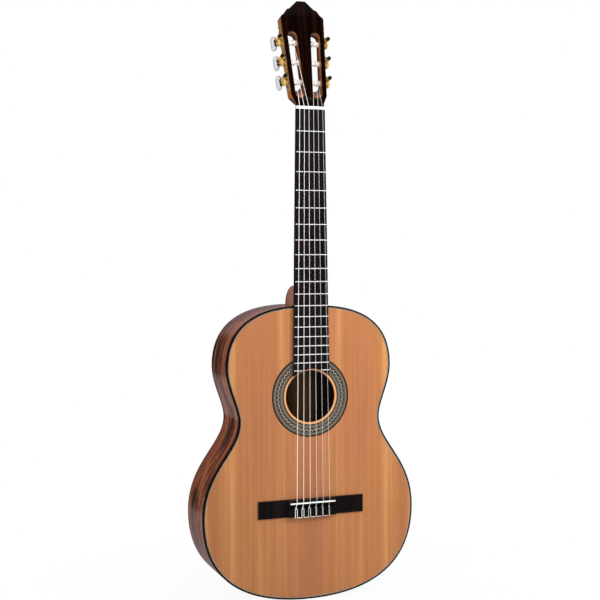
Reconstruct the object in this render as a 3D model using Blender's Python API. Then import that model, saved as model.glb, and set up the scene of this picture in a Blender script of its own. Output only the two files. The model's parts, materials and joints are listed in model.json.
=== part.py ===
"""Classical guitar as separate solids: +Z along the strings to the head, -Y the front, +X treble.

The origin is the centre of the end graft's outer face, at the tail. Sizes and places below are
given in the body frame, whose Y is measured back from the soundboard's outer face.
"""
import math

import bmesh
import bpy
from mathutils import Matrix, Vector

MM = 0.001
GAP = 0.3 * MM                      # clearance between glued or resting pieces

# --- strings, neck and scale ------------------------------------------------------------------
SCALE_LENGTH = 650 * MM
NUT_Z = 818.5 * MM                  # front edge of the nut
SADDLE_Z = 164.5 * MM               # crown of the saddle, 4 mm behind the scale length
NUT_WIDTH = 50 * MM
TWELFTH_FRET_WIDTH = 59.5 * MM
STRING_SPREAD_AT_NUT = 40.5 * MM
STRING_SPREAD_AT_SADDLE = 58.5 * MM
STRING_DIAMETERS = [1.10 * MM, 0.90 * MM, 0.75 * MM, 1.02 * MM, 0.82 * MM, 0.72 * MM]
STRING_NAMES = ["E6", "A5", "D4", "G3", "B2", "E1"]
WOUND_STRINGS = 3
OUTER_STRING_SHARE = 0.38           # place on its roller, as a share of the slot's width
INNER_STRING_SHARE = 0.55
STRING_LANDING = 1.6 * MM           # how far a string runs level on each side of the saddle's crown
STRING_TAIL = 1.0 * MM              # what shows below the tie block

# --- body -------------------------------------------------------------------------------------
BODY_LENGTH = 493.5 * MM
DEPTH_AT_TAIL = 100.4 * MM
DEPTH_AT_NECK = 86.7 * MM
LOWER_BOUT = (187.4 * MM, 145.6 * MM)       # half width, height above the tail
WAIST = (124.9 * MM, 303.2 * MM)
UPPER_BOUT = (146.1 * MM, 391.7 * MM)
OUTLINE_STEPS = 7                            # straight steps in each of the four outline curves
SOUNDBOARD_THICKNESS = 2.5 * MM
BACK_THICKNESS = 2.6 * MM
RIB_THICKNESS = 2.2 * MM
BINDING_WIDTH = 2.5 * MM
BINDING_HEIGHT = 5.0 * MM
LINING_WIDTH = 5.0 * MM
LINING_HEIGHT = 14.0 * MM
SOUNDHOLE_Z = 341.4 * MM
SOUNDHOLE_RADIUS = 43.6 * MM
ROSETTE_INNER_RADIUS = 47.0 * MM
ROSETTE_OUTER_RADIUS = 68.1 * MM
ROSETTE_THICKNESS = 1.2 * MM
NECK_BLOCK_HALF_WIDTH = 34 * MM
NECK_BLOCK_LENGTH = 36 * MM
TAIL_BLOCK_HALF_WIDTH = 42 * MM
TAIL_BLOCK_LENGTH = 15 * MM
GRAFT_HALF_WIDTH = 7 * MM
TAIL_HANDLE = 119.6 * MM                     # how far the outline runs flat on from the tail
TAIL_CENTRE_DEPTH = DEPTH_AT_TAIL / 2        # from the soundboard back to the graft's centre

# --- bracing ----------------------------------------------------------------------------------
UPPER_BAR_Z = 419.4 * MM
LOWER_BAR_Z = 262 * MM
BAR_WIDTH = 7 * MM
BAR_HEIGHT = 17 * MM
PATCH_HALF_WIDTH = 95 * MM
PATCH_BELOW_SADDLE = 26 * MM
PATCH_ABOVE_SADDLE = 6 * MM
PATCH_THICKNESS = 1.6 * MM
STRUT_SECTION = 5 * MM
STRUT_LENGTH = 190 * MM
STRUT_SPACING = 34 * MM
STRUT_CENTRE_Z = 155 * MM
STRUT_FAN_ANGLE = math.radians(6.0)          # between neighbours
CENTRE_STRIP_HALF_WIDTH = 8 * MM
CENTRE_STRIP_THICKNESS = 2 * MM
CENTRE_STRIP_END_GAP = 6 * MM
BACK_BRACES = {"back_brace_lower": 120 * MM, "back_brace_waist": 265 * MM,
               "back_brace_upper": 390 * MM}
BACK_BRACE_WIDTH = 8 * MM
BACK_BRACE_HEIGHT = 15 * MM

# --- bridge -----------------------------------------------------------------------------------
BRIDGE_WIDTH = 187 * MM
BRIDGE_LENGTH = 29.5 * MM
BRIDGE_TOP_Z = SADDLE_Z + 6.0 * MM
BRIDGE_BOTTOM_Z = BRIDGE_TOP_Z - BRIDGE_LENGTH
BRIDGE_CENTRE_WIDTH = 84 * MM
BRIDGE_HEIGHT = 9 * MM
WING_HEIGHT = 3.4 * MM
TIE_BLOCK_LENGTH = 13 * MM
TIE_BLOCK_INSET = 0.2 * MM
SADDLE_RAIL_LENGTH = 9.5 * MM
SADDLE_RAIL_INSET = 0.5 * MM
RAISED_PART_ROOT = 1.0 * MM         # how far up inside the wings the raised parts start
SADDLE_LENGTH = 80 * MM
SADDLE_THICKNESS = 2.6 * MM
SADDLE_TOP = 12.2 * MM              # above the soundboard
SADDLE_SLOT_FLOOR = 4.0 * MM
STRING_HOLE_HEIGHT = 5.4 * MM
STRING_HOLE_RADIUS = 1.2 * MM

# --- fingerboard ------------------------------------------------------------------------------
FINGERBOARD_TOP = 7.0 * MM          # above the soundboard
FRET_COUNT = 19
FRET_HEIGHT = 1.0 * MM
FRET_BASE = 2.6 * MM
FRET_CROWN = 1.2 * MM
FINGERBOARD_END_RADIUS = 46.6 * MM  # arc about the soundhole's centre
FINGERBOARD_END_Z = 371.5 * MM
NUT_LENGTH = 5.0 * MM
NUT_TOP = 8.6 * MM

# --- neck and heel ----------------------------------------------------------------------------
NECK_DEPTH_AT_NUT = 15.0 * MM       # wood only, without the fingerboard
NECK_DEPTH_GAIN = 2.0 * MM          # added by the ninth fret
NECK_BACK_FLAT = 2.5 * MM
NECK_BACK_POWER = 2.3               # roundness of the neck's back
NECK_SIDE_POWER = 2.1
HEEL_SWEEP_POWER = 2.2
HEEL_FLARE_POWER = 1.35
NECK_HEIGHTS = [493.8, 502, 510, 516, 520, 523, 525, 527, 531, 538, 548, 560, 575, 640, 740, 824]  # mm
HEEL_START = 576 * MM
HEEL_CAP_LENGTH = 31.5 * MM
HEEL_CAP_TOP = BODY_LENGTH + HEEL_CAP_LENGTH
HEEL_CAP_HALF_WIDTH = 13.5 * MM
HEEL_CAP_THICKNESS = 3.6 * MM
HEEL_CAP_SIDE_POWER = 2.2           # how long the cap keeps its width
HEEL_CAP_TIP_POWER = 0.62           # how blunt its tip is

# --- head -------------------------------------------------------------------------------------
HEAD_TILT = math.radians(13.5)
HEAD_FACE_AT_NUT = 6.0 * MM         # height of the head's face above the soundboard at the nut
HEAD_THICKNESS = 20.0 * MM
VENEER_THICKNESS = 2.0 * MM
HEAD_HALF_OUTLINE = [(24.8, 10.5), (31.275, 24.5), (38.0, 161.5), (36.6, 165.0), (33.0, 167.0),
                     (26.3, 176.4), (22.1, 177.7), (7.5, 192.0)]   # mm: half width, height
HEAD_ROOT_HALF_WIDTH = 24.5 * MM
HEAD_ROOT_BACK_SHARE = 0.4          # the root's back is this much of its front's width
HEAD_SQUARE_HEIGHT = 24.5 * MM      # where the root has become a square block
HEAD_SIDE_SLOPE = 0.05              # the head's sides open by this much per unit of height
HEAD_SIDE_HALF_WIDTH = 34.25 * MM   # at the middle tuner
HEAD_RIM_WIDTH = 7.5 * MM
SLOT_WIDTH = 17.0 * MM
SLOT_BOTTOM = 17.6 * MM
SLOT_TOP = 136.3 * MM
SLOT_RAMP = 20.5 * MM               # the lower end rises by this much from the face to the back

# --- tuning machines --------------------------------------------------------------------------
MIDDLE_TUNER_HEIGHT = 84.0 * MM     # along the head's face from the nut
TUNER_SPACING = 35.0 * MM
GEAR_TEETH = 15
WORM_TO_GEAR = 8.3 * MM             # centre distance
GEAR_PITCH_RADIUS = 5.7 * MM
WORM_PITCH_RADIUS = WORM_TO_GEAR - GEAR_PITCH_RADIUS
AXIAL_PITCH = 2 * math.pi * GEAR_PITCH_RADIUS / GEAR_TEETH
TOOTH_THICKNESS = 0.36 * AXIAL_PITCH
GEAR_ADDENDUM = 0.6 * MM
GEAR_DEDENDUM = 1.0 * MM
THREAD_ADDENDUM = 0.7 * MM
THREAD_CORE_RADIUS = 1.7 * MM
PRESSURE_ANGLE = math.radians(20)
GEAR_WIDTH = 3.0 * MM
MECHANISM_OFFSET = 6.6 * MM         # gear mid-plane and worm axis, out from the head's side
PLATE_THICKNESS = 1.2 * MM
EAR_OFFSET = 6.4 * MM               # bearing ears before and behind the gear's axis
EAR_THICKNESS = 1.4 * MM
EAR_WIDTH = 7.0 * MM
ROLLER_RADIUS = 5.0 * MM
JOURNAL_RADIUS = 3.1 * MM
SPIGOT_RADIUS = 1.5 * MM
PIN_RADIUS = 2.0 * MM
PIN_LENGTH = 4.0 * MM
BUTTON_HALF_HEIGHT = 12.8 * MM
BUTTON_HALF_THICKNESS = 5.0 * MM
BUTTON_HALF_LENGTH = 8.8 * MM
BUTTON_OVAL_REACH = 1.12            # the oval's half length before its front is cut flat
BUTTON_CENTRE = 23.6 * MM           # behind the gear's axis
STUB_RADIUS = 1.5 * MM
BALL_RADIUS = 3.1 * MM
BALL_CENTRE = -10.6 * MM
BALL_CUT = 0.93                     # share of the ball's radius at which the shaft leaves it
COLLAR_FRONT_RADIUS = 3.2 * MM
COLLAR_WAIST_RADIUS = 2.6 * MM
COLLAR_FLANGE_RADIUS = 3.9 * MM
COLLAR_BACK_RADIUS = 3.6 * MM
THREAD_TURNS = 2.5
THREAD_STEPS_PER_TURN = 8
THREAD_ROOT_SINK = 0.3 * MM
SCREW_PROFILE = [(0.0, 2.6 * MM), (0.9 * MM, 2.4 * MM), (1.5 * MM, 1.4 * MM), (1.5 * MM, 0.0)]
EAR_REACH = 3.2 * MM                # past the worm's axis
PLATE_HALF_OUTLINE = [(7.6, 50.0), (5.2, 54.0), (5.6, 59.0), (7.4, 63.5), (4.8, 69.0),
                      (1.6, 72.0)]  # mm: half depth, distance up from the middle
PLATE_LOWER_SHARE = 0.72            # the lower half is this much of the upper half's length

# --- colours: base colour, roughness, metallic ------------------------------------------------
MATERIALS = {
    "cedar": ((0.62, 0.33, 0.14), 0.35, 0.0),
    "spruce": ((0.72, 0.56, 0.36), 0.6, 0.0),
    "figured_rosewood": ((0.16, 0.05, 0.03), 0.2, 0.0),
    "mahogany": ((0.36, 0.13, 0.05), 0.3, 0.0),
    "ebony": ((0.015, 0.012, 0.012), 0.4, 0.0),
    "dark_rosewood": ((0.04, 0.015, 0.012), 0.3, 0.0),
    "black_binding": ((0.02, 0.018, 0.018), 0.3, 0.0),
    "inlay": ((0.25, 0.2, 0.15), 0.4, 0.0),
    "bone": ((0.85, 0.82, 0.74), 0.4, 0.0),
    "gilt_brass": ((0.75, 0.52, 0.18), 0.25, 1.0),
    "black_steel": ((0.02, 0.02, 0.022), 0.3, 1.0),
    "pearloid": ((0.82, 0.82, 0.84), 0.2, 0.0),
    "roller_plastic": ((0.85, 0.82, 0.75), 0.4, 0.0),
    "wound_string": ((0.7, 0.68, 0.64), 0.3, 1.0),
    "nylon": ((0.75, 0.75, 0.74), 0.3, 0.0),
}


def clear_scene():
    for thing in list(bpy.data.objects):
        bpy.data.objects.remove(thing, do_unlink=True)


def new_collection(name):
    collection = bpy.data.collections.new(name)
    bpy.context.scene.collection.children.link(collection)
    return collection


def material(name):
    """The shared Principled material of that name."""
    found = bpy.data.materials.get(name)
    if found:
        return found
    colour, roughness, metallic = MATERIALS[name]
    made = bpy.data.materials.new(name)
    made.use_nodes = True
    shader = made.node_tree.nodes["Principled BSDF"]
    shader.inputs["Base Color"].default_value = (*colour, 1.0)
    shader.inputs["Roughness"].default_value = roughness
    shader.inputs["Metallic"].default_value = metallic
    return made


def add_object(name, mesh, material_name, collection, parent=None, location=(0, 0, 0), smooth=None):
    """Put a mesh in the scene as one sub-part, in the body frame unless it has its own."""
    mesh.name = name
    thing = bpy.data.objects.new(name, mesh)
    collection.objects.link(thing)
    thing.parent = parent or body_frame
    thing.location = location
    mesh.materials.clear()
    mesh.materials.append(material(material_name))
    if smooth is not None:
        mesh.shade_smooth()
        mesh.set_sharp_from_angle(angle=math.radians(smooth))
    return thing


def add_frame(name, collection, parent=None, matrix=Matrix.Identity(4)):
    """An empty that carries pieces."""
    frame = bpy.data.objects.new(name, None)
    frame.empty_display_size = 0.01
    collection.objects.link(frame)
    frame.parent = parent
    frame.matrix_local = matrix
    return frame


def mesh_from_bmesh(bm, name):
    bmesh.ops.recalc_face_normals(bm, faces=bm.faces)
    mesh = bpy.data.meshes.new(name)
    bm.to_mesh(mesh)
    bm.free()
    return mesh


def cut(thing, cutters, operation="DIFFERENCE"):
    """Boolean a list of cutter objects into an object."""
    for number, cutter in enumerate(cutters):
        modifier = thing.modifiers.new("cut_%d" % number, "BOOLEAN")
        modifier.operation = operation
        modifier.object = cutter
        modifier.solver = "EXACT"


def add_cutter(name, mesh, parent=None, matrix=Matrix.Identity(4)):
    mesh.name = name
    cutter = bpy.data.objects.new(name, mesh)
    cutter_collection.objects.link(cutter)
    cutter.parent = parent or body_frame
    cutter.matrix_local = matrix
    cutter.hide_render = True
    cutter.display_type = "WIRE"
    return cutter


def flat_mesh(name, loops):
    """A filled flat outline with holes, 1 unit thick about its own plane."""
    curve = bpy.data.curves.new(name, "CURVE")
    curve.dimensions = "2D"
    curve.fill_mode = "BOTH"
    curve.extrude = 0.5
    for loop in loops:
        spline = curve.splines.new("POLY")
        spline.points.add(len(loop) - 1)
        for point, (x, y) in zip(spline.points, loop):
            point.co = (x, y, 0.0, 1.0)
        spline.use_cyclic_u = True
    holder = bpy.data.objects.new(name, curve)
    bpy.context.scene.collection.objects.link(holder)
    bpy.context.view_layer.update()
    evaluated = holder.evaluated_get(bpy.context.evaluated_depsgraph_get())
    mesh = bpy.data.meshes.new_from_object(evaluated)
    bpy.data.objects.remove(holder, do_unlink=True)
    bpy.data.curves.remove(curve)
    bm = bmesh.new()
    bm.from_mesh(mesh)
    bmesh.ops.remove_doubles(bm, verts=bm.verts, dist=1e-6)
    bm.to_mesh(mesh)
    bm.free()
    return mesh


def slab(name, loops, front, back):
    """A board standing in the XZ plane between two Y surfaces, each a number or a function of z."""
    mesh = flat_mesh(name, loops)
    for vertex in mesh.vertices:
        x, z, side = vertex.co
        surface = front if side > 0 else back
        y = surface(z) if callable(surface) else surface
        vertex.co = (x, y, z)
    return mesh


def box(size, centre=(0, 0, 0)):
    bm = bmesh.new()
    bmesh.ops.create_cube(bm, size=1.0)
    bmesh.ops.scale(bm, vec=size, verts=bm.verts)
    bmesh.ops.translate(bm, vec=centre, verts=bm.verts)
    return mesh_from_bmesh(bm, "box")


def rod(radius, low, high, axis, centre=(0, 0, 0), segments=12):
    """A cylinder along X, Y or Z, between two positions on that axis."""
    turn = {"X": Matrix.Rotation(math.radians(90), 4, "Y"),
            "Y": Matrix.Rotation(math.radians(-90), 4, "X"),
            "Z": Matrix.Identity(4)}[axis]
    along = {"X": Vector((1, 0, 0)), "Y": Vector((0, 1, 0)), "Z": Vector((0, 0, 1))}[axis]
    bm = bmesh.new()
    bmesh.ops.create_cone(bm, cap_ends=True, segments=segments, radius1=radius, radius2=radius,
                          depth=high - low, matrix=turn)
    bmesh.ops.translate(bm, vec=Vector(centre) + along * (low + high) / 2, verts=bm.verts)
    return mesh_from_bmesh(bm, "rod")


def turned(profile, axis, segments=10):
    """A solid of revolution: profile is (distance along the axis, radius), both ends on the axis."""
    bm = bmesh.new()
    points = [bm.verts.new((radius, 0, along)) for along, radius in profile]
    edges = [bm.edges.new(pair) for pair in zip(points, points[1:])]
    bmesh.ops.spin(bm, geom=points + edges, axis=(0, 0, 1), cent=(0, 0, 0),
                   angle=math.tau, steps=segments, use_merge=True)
    bmesh.ops.remove_doubles(bm, verts=bm.verts, dist=1e-6)
    turn = {"X": Matrix.Rotation(math.radians(90), 4, "Y"),
            "Y": Matrix.Rotation(math.radians(-90), 4, "X"),
            "Z": Matrix.Identity(4)}[axis]
    bmesh.ops.transform(bm, matrix=turn, verts=bm.verts)
    return mesh_from_bmesh(bm, "turned")


def rectangle(x0, x1, z0, z1):
    return [(x0, z0), (x1, z0), (x1, z1), (x0, z1)]


def circle(radius, x, z, count=36):
    angles = [math.tau * i / count for i in range(count)]
    return [(x + radius * math.cos(a), z + radius * math.sin(a)) for a in angles]


# --- the body's outline -----------------------------------------------------------------------
def bezier(p0, p1, p2, p3, t):
    s = 1 - t
    return p0 * s ** 3 + p1 * 3 * s * s * t + p2 * 3 * s * t * t + p3 * t ** 3


def outline_curves():
    """Control points of the four curves that run from the tail to the neck on the treble side."""
    tail, neck = Vector((0, 0)), Vector((0, BODY_LENGTH))
    lower, waist, upper = Vector(LOWER_BOUT), Vector(WAIST), Vector(UPPER_BOUT)
    up, out = Vector((0, MM)), Vector((MM, 0))
    return [(tail, tail + Vector((TAIL_HANDLE, 0)), lower - up * 97.8, lower),
            (lower, lower + up * 81.3, waist - up * 47.3, waist),
            (waist, waist + up * 23.3, upper - up * 32.7, upper),
            (upper, upper + up * 106.0, neck + out * 30.0, neck)]


def half_outline(inset=0.0):
    """Points from the tail to the neck on the treble side, moved inwards by inset."""
    points = []
    for index, curve in enumerate(outline_curves()):
        places = [step / OUTLINE_STEPS for step in range(OUTLINE_STEPS + (index == 3))]
        if index == 0:
            places.insert(1, GRAFT_HALF_WIDTH / (3 * TAIL_HANDLE))
        for t in places:
            here = bezier(*curve, t)
            ahead = bezier(*curve, min(t + 1e-3, 1.0)) - bezier(*curve, max(t - 1e-3, 0.0))
            inward = Vector((-ahead.y, ahead.x)).normalized()
            points.append(here + inward * inset)
    return points


def full_outline(inset=0.0):
    right = [(p.x, p.y) for p in half_outline(inset)]
    right[0] = (0.0, right[0][1])
    right[-1] = (0.0, right[-1][1])
    left = [(-x, z) for x, z in right[-2:0:-1]]
    return right + left


def half_width_at(z, inset=0.0):
    """Half the body's width at height z."""
    points = half_outline(inset)
    for a, b in zip(points, points[1:]):
        if a.y <= z <= b.y and b.y > a.y:
            return a.x + (b.x - a.x) * (z - a.y) / (b.y - a.y)
    return 0.0


def back_face(z):
    """Y of the back's outer face: the body is deeper at the tail."""
    return DEPTH_AT_TAIL + (DEPTH_AT_NECK - DEPTH_AT_TAIL) * z / BODY_LENGTH


def behind(distance):
    """A surface parallel to the back's outer face, that far inside it."""
    return lambda z: back_face(z) - distance


def rib_band(side, outer, inner, start_x, end_x):
    """Outline of a strip that follows one half of the body between two insets.

    It starts at start_x from the centreline at the tail and ends at end_x from it at the neck.
    """
    def trimmed(inset):
        points = half_outline(inset)
        count = len(points)
        kept = []
        for index, point in enumerate(points):
            limit = start_x if index < count / 2 else end_x
            if point.x > limit + MM:
                kept.append((point.x, point.y))
        low = next(a.lerp(b, (start_x - a.x) / (b.x - a.x)) for a, b in zip(points, points[1:])
                   if a.x <= start_x < b.x)
        high = next(a.lerp(b, (a.x - end_x) / (a.x - b.x)) for a, b in
                    zip(points[count // 2:], points[count // 2 + 1:]) if b.x <= end_x < a.x)
        return [(low.x, low.y)] + kept + [(high.x, high.y)]

    loop = trimmed(outer) + trimmed(inner)[::-1]
    return [(side * x, z) for x, z in loop]


# --- body pieces ------------------------------------------------------------------------------
def make_soundboard():
    mesh = slab("soundboard", [full_outline(BINDING_WIDTH + GAP),
                               circle(SOUNDHOLE_RADIUS, 0, SOUNDHOLE_Z)],
                0.0, SOUNDBOARD_THICKNESS)
    board = add_object("soundboard", mesh, "cedar", parts)
    groove = slab("rosette_groove", [circle(ROSETTE_OUTER_RADIUS + GAP, 0, SOUNDHOLE_Z),
                                     circle(ROSETTE_INNER_RADIUS - GAP, 0, SOUNDHOLE_Z)],
                  -MM, ROSETTE_THICKNESS + GAP)
    cut(board, [add_cutter("rosette_groove", groove)])


def make_rosette():
    mesh = slab("rosette", [circle(ROSETTE_OUTER_RADIUS, 0, SOUNDHOLE_Z),
                            circle(ROSETTE_INNER_RADIUS, 0, SOUNDHOLE_Z)],
                0.0, ROSETTE_THICKNESS)
    add_object("rosette", mesh, "inlay", parts)


def make_back():
    mesh = slab("back", [full_outline(BINDING_WIDTH + GAP)], behind(BACK_THICKNESS), back_face)
    add_object("back", mesh, "figured_rosewood", parts)


def make_sides():
    for side, label in ((-1, "bass"), (1, "treble")):
        band = rib_band(side, 0.0, RIB_THICKNESS, GRAFT_HALF_WIDTH + GAP, GAP)
        mesh = slab("side", [band], BINDING_HEIGHT + GAP, behind(BINDING_HEIGHT + GAP))
        add_object("side_" + label, mesh, "figured_rosewood", parts)


def make_bindings():
    ring = [full_outline(0.0), full_outline(BINDING_WIDTH)]
    top = slab("top_binding", ring, 0.0, BINDING_HEIGHT)
    add_object("top_binding", top, "black_binding", parts)
    back = slab("back_binding", ring, behind(BINDING_HEIGHT), back_face)
    add_object("back_binding", back, "black_binding", parts)


def make_linings():
    outer = BINDING_WIDTH + GAP
    top_start = SOUNDBOARD_THICKNESS + GAP
    back_start = BACK_THICKNESS + GAP
    for side, label in ((-1, "bass"), (1, "treble")):
        band = rib_band(side, outer, outer + LINING_WIDTH,
                        TAIL_BLOCK_HALF_WIDTH + GAP, NECK_BLOCK_HALF_WIDTH + GAP)
        top = slab("lining", [band], top_start, top_start + LINING_HEIGHT)
        add_object("top_lining_" + label, top, "spruce", parts)
        back = slab("lining", [band], behind(back_start + LINING_HEIGHT), behind(back_start))
        add_object("back_lining_" + label, back, "spruce", parts)


def make_blocks():
    """Blocks that join the sides at the neck and at the tail, shaped to the sides' inner face."""
    inset = BINDING_WIDTH + GAP
    front = SOUNDBOARD_THICKNESS + GAP
    rear = behind(BACK_THICKNESS + GAP)
    points = half_outline(inset)

    def block(name, half_width, inner_z, edge):
        arc = [(p.x, p.y) for p in edge if p.x < half_width - MM]
        arc[0] = (0.0, arc[0][1])
        rim = height_at(edge, half_width)
        right = [(half_width, inner_z), (half_width, rim)] + arc[::-1]
        loop = right + [(-x, z) for x, z in right[-2::-1]]
        add_object(name, slab(name, [loop], front, rear), "mahogany", parts)

    block("tail_block", TAIL_BLOCK_HALF_WIDTH, inset + TAIL_BLOCK_LENGTH, points[:len(points) // 2])
    block("neck_block", NECK_BLOCK_HALF_WIDTH, BODY_LENGTH - inset - NECK_BLOCK_LENGTH,
          points[:len(points) // 2:-1])


def height_at(points, x):
    """Height at which a run of points, starting on the centreline, reaches x."""
    for a, b in zip(points, points[1:]):
        if a.x <= x <= b.x:
            return a.y + (b.y - a.y) * (x - a.x) / (b.x - a.x)
    return points[-1].y


def make_end_graft():
    front = BINDING_HEIGHT + GAP
    loop = rectangle(-GRAFT_HALF_WIDTH, GRAFT_HALF_WIDTH, 0.0, RIB_THICKNESS)
    add_object("end_graft", slab("end_graft", [loop], front, behind(front)), "black_binding", parts)


def brace_loop(z, width, inset):
    """Outline of a bar across the body that stays inside the linings."""
    half = min(half_width_at(z - width / 2, inset), half_width_at(z + width / 2, inset))
    return rectangle(-half, half, z - width / 2, z + width / 2)


def make_bracing():
    start = SOUNDBOARD_THICKNESS + GAP
    lining_inset = BINDING_WIDTH + GAP + LINING_WIDTH + GAP
    for name, z in (("upper_harmonic_bar", UPPER_BAR_Z), ("lower_harmonic_bar", LOWER_BAR_Z)):
        loop = brace_loop(z, BAR_WIDTH, lining_inset)
        add_object(name, slab(name, [loop], start, start + BAR_HEIGHT), "spruce", parts)

    loop = rectangle(-PATCH_HALF_WIDTH, PATCH_HALF_WIDTH,
                     SADDLE_Z - PATCH_BELOW_SADDLE, SADDLE_Z + PATCH_ABOVE_SADDLE)
    patch = slab("patch", [loop], start, start + PATCH_THICKNESS)
    bracing = add_object("fan_bracing", patch, "spruce", parts)
    struts = []
    for number in range(-2, 3):
        strut = box((STRUT_SECTION, STRUT_SECTION, STRUT_LENGTH), (0, start + STRUT_SECTION / 2, 0))
        place = Matrix.Translation((number * STRUT_SPACING, 0, STRUT_CENTRE_Z))
        lean = Matrix.Rotation(-STRUT_FAN_ANGLE * number, 4, "Y")
        struts.append(add_cutter("fan_strut_%d" % (number + 3), strut, matrix=place @ lean))
    cut(bracing, struts, "UNION")


def make_back_bracing():
    rear = BACK_THICKNESS + GAP
    low = TAIL_BLOCK_LENGTH + CENTRE_STRIP_END_GAP
    high = BODY_LENGTH - NECK_BLOCK_LENGTH - CENTRE_STRIP_END_GAP
    half = CENTRE_STRIP_HALF_WIDTH
    strip = slab("strip", [rectangle(-half, half, low, high)],
                 behind(rear + CENTRE_STRIP_THICKNESS), behind(rear))
    add_object("back_centre_strip", strip, "spruce", parts)
    notch = slab("notch", [rectangle(-half - GAP, half + GAP, low, high)],
                 behind(rear + CENTRE_STRIP_THICKNESS + GAP), behind(rear - MM))
    notch_cutter = add_cutter("centre_strip_notch", notch)
    lining_inset = BINDING_WIDTH + GAP + LINING_WIDTH + GAP
    for name, z in BACK_BRACES.items():
        loop = brace_loop(z, BACK_BRACE_WIDTH, lining_inset)
        brace = add_object(name, slab(name, [loop], behind(rear + BACK_BRACE_HEIGHT), behind(rear)),
                           "spruce", parts)
        cut(brace, [notch_cutter])


# --- bridge and strings -----------------------------------------------------------------------
def string_x(index, z):
    """Sideways place of a string at height z; string 0 is the lowest bass string."""
    spread_per_z = (STRING_SPREAD_AT_NUT - STRING_SPREAD_AT_SADDLE) / (NUT_Z - SADDLE_Z)
    spread = STRING_SPREAD_AT_SADDLE + spread_per_z * (z - SADDLE_Z)
    return spread * (index / 5 - 0.5)


def make_bridge():
    wings = box((BRIDGE_WIDTH, WING_HEIGHT, BRIDGE_LENGTH),
                (0, -GAP - WING_HEIGHT / 2, (BRIDGE_BOTTOM_Z + BRIDGE_TOP_Z) / 2))
    bridge = add_object("bridge", wings, "ebony", parts)
    rise = BRIDGE_HEIGHT - RAISED_PART_ROOT
    raised_y = -RAISED_PART_ROOT - rise / 2
    rail_z = BRIDGE_TOP_Z - SADDLE_RAIL_INSET - SADDLE_RAIL_LENGTH / 2
    tie_z = BRIDGE_BOTTOM_Z + TIE_BLOCK_INSET + TIE_BLOCK_LENGTH / 2
    saddle_rail = box((BRIDGE_CENTRE_WIDTH, rise, SADDLE_RAIL_LENGTH), (0, raised_y, rail_z))
    tie_block = box((BRIDGE_CENTRE_WIDTH, rise, TIE_BLOCK_LENGTH), (0, raised_y, tie_z))
    cut(bridge, [add_cutter("saddle_rail", saddle_rail), add_cutter("tie_block", tie_block)], "UNION")
    slot = slab("slot", [rectangle(-SADDLE_LENGTH / 2 - GAP, SADDLE_LENGTH / 2 + GAP,
                                   SADDLE_Z - SADDLE_THICKNESS / 2 - GAP,
                                   SADDLE_Z + SADDLE_THICKNESS / 2 + GAP)],
                -2 * SADDLE_TOP, -SADDLE_SLOT_FLOOR + GAP)
    cutters = [add_cutter("saddle_slot", slot)]
    for index in range(len(STRING_NAMES)):
        hole = rod(STRING_HOLE_RADIUS, BRIDGE_BOTTOM_Z - MM,
                   BRIDGE_BOTTOM_Z + TIE_BLOCK_LENGTH + 2 * MM, "Z",
                   (string_x(index, BRIDGE_BOTTOM_Z), -STRING_HOLE_HEIGHT, 0), 8)
        cutters.append(add_cutter("string_hole_%d" % (index + 1), hole))
    cut(bridge, cutters)


def make_saddle():
    height = SADDLE_TOP - SADDLE_SLOT_FLOOR
    mesh = box((SADDLE_LENGTH, height, SADDLE_THICKNESS),
               (0, -SADDLE_SLOT_FLOOR - height / 2, SADDLE_Z))
    add_object("saddle", mesh, "bone", parts)


def make_nut():
    mesh = box((NUT_WIDTH, NUT_TOP - GAP, NUT_LENGTH),
               (0, -GAP - (NUT_TOP - GAP) / 2, NUT_Z + NUT_LENGTH / 2))
    add_object("nut", mesh, "bone", parts)


def make_strings():
    """Each string runs from the tie block over saddle and nut to the front of its roller."""
    tie_end = BRIDGE_BOTTOM_Z + TIE_BLOCK_LENGTH + 0.5 * MM
    nut_end = NUT_Z + NUT_LENGTH + 0.5 * MM
    to_body = body_frame.matrix_world.inverted()
    for index, (name, diameter) in enumerate(zip(STRING_NAMES, STRING_DIAMETERS)):
        wound = index < WOUND_STRINGS
        side = -1 if wound else 1
        # the outer strings go to the rollers nearest the nut
        position = (index if wound else 5 - index) - 1
        share = OUTER_STRING_SHARE if index in (0, 5) else INNER_STRING_SHARE
        clear = diameter / 2 + GAP
        roller = Vector((-side * (HEAD_RIM_WIDTH + SLOT_WIDTH * share),
                         -ROLLER_RADIUS - clear - 0.1 * MM, position * TUNER_SPACING))
        hole_x, hole_y = string_x(index, BRIDGE_BOTTOM_Z), -STRING_HOLE_HEIGHT
        saddle_x, saddle_y = string_x(index, SADDLE_Z), -SADDLE_TOP - clear
        nut_x, nut_y = string_x(index, NUT_Z), -NUT_TOP - clear
        path = [Vector((hole_x, hole_y, BRIDGE_BOTTOM_Z - STRING_TAIL)),
                Vector((hole_x, hole_y, tie_end)),
                Vector((saddle_x, saddle_y, SADDLE_Z - STRING_LANDING)),
                Vector((saddle_x, saddle_y, SADDLE_Z + STRING_LANDING)),
                Vector((nut_x, nut_y, NUT_Z)),
                Vector((nut_x, nut_y, nut_end)),
                to_body @ tuner_frames[side].matrix_world @ roller]
        curve = bpy.data.curves.new("string", "CURVE")
        curve.dimensions = "3D"
        curve.bevel_depth = diameter / 2
        curve.bevel_resolution = 1
        curve.use_fill_caps = True
        spline = curve.splines.new("POLY")
        spline.points.add(len(path) - 1)
        for point, place in zip(spline.points, path):
            point.co = (*place, 1.0)
        string = bpy.data.objects.new("string_" + name, curve)
        parts.objects.link(string)
        string.parent = body_frame
        curve.materials.append(material("wound_string" if wound else "nylon"))


# --- neck -------------------------------------------------------------------------------------
def board_half_width(z):
    slope = (TWELFTH_FRET_WIDTH - NUT_WIDTH) / 2 / (SCALE_LENGTH / 2)
    return NUT_WIDTH / 2 + slope * (NUT_Z - z)


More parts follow.
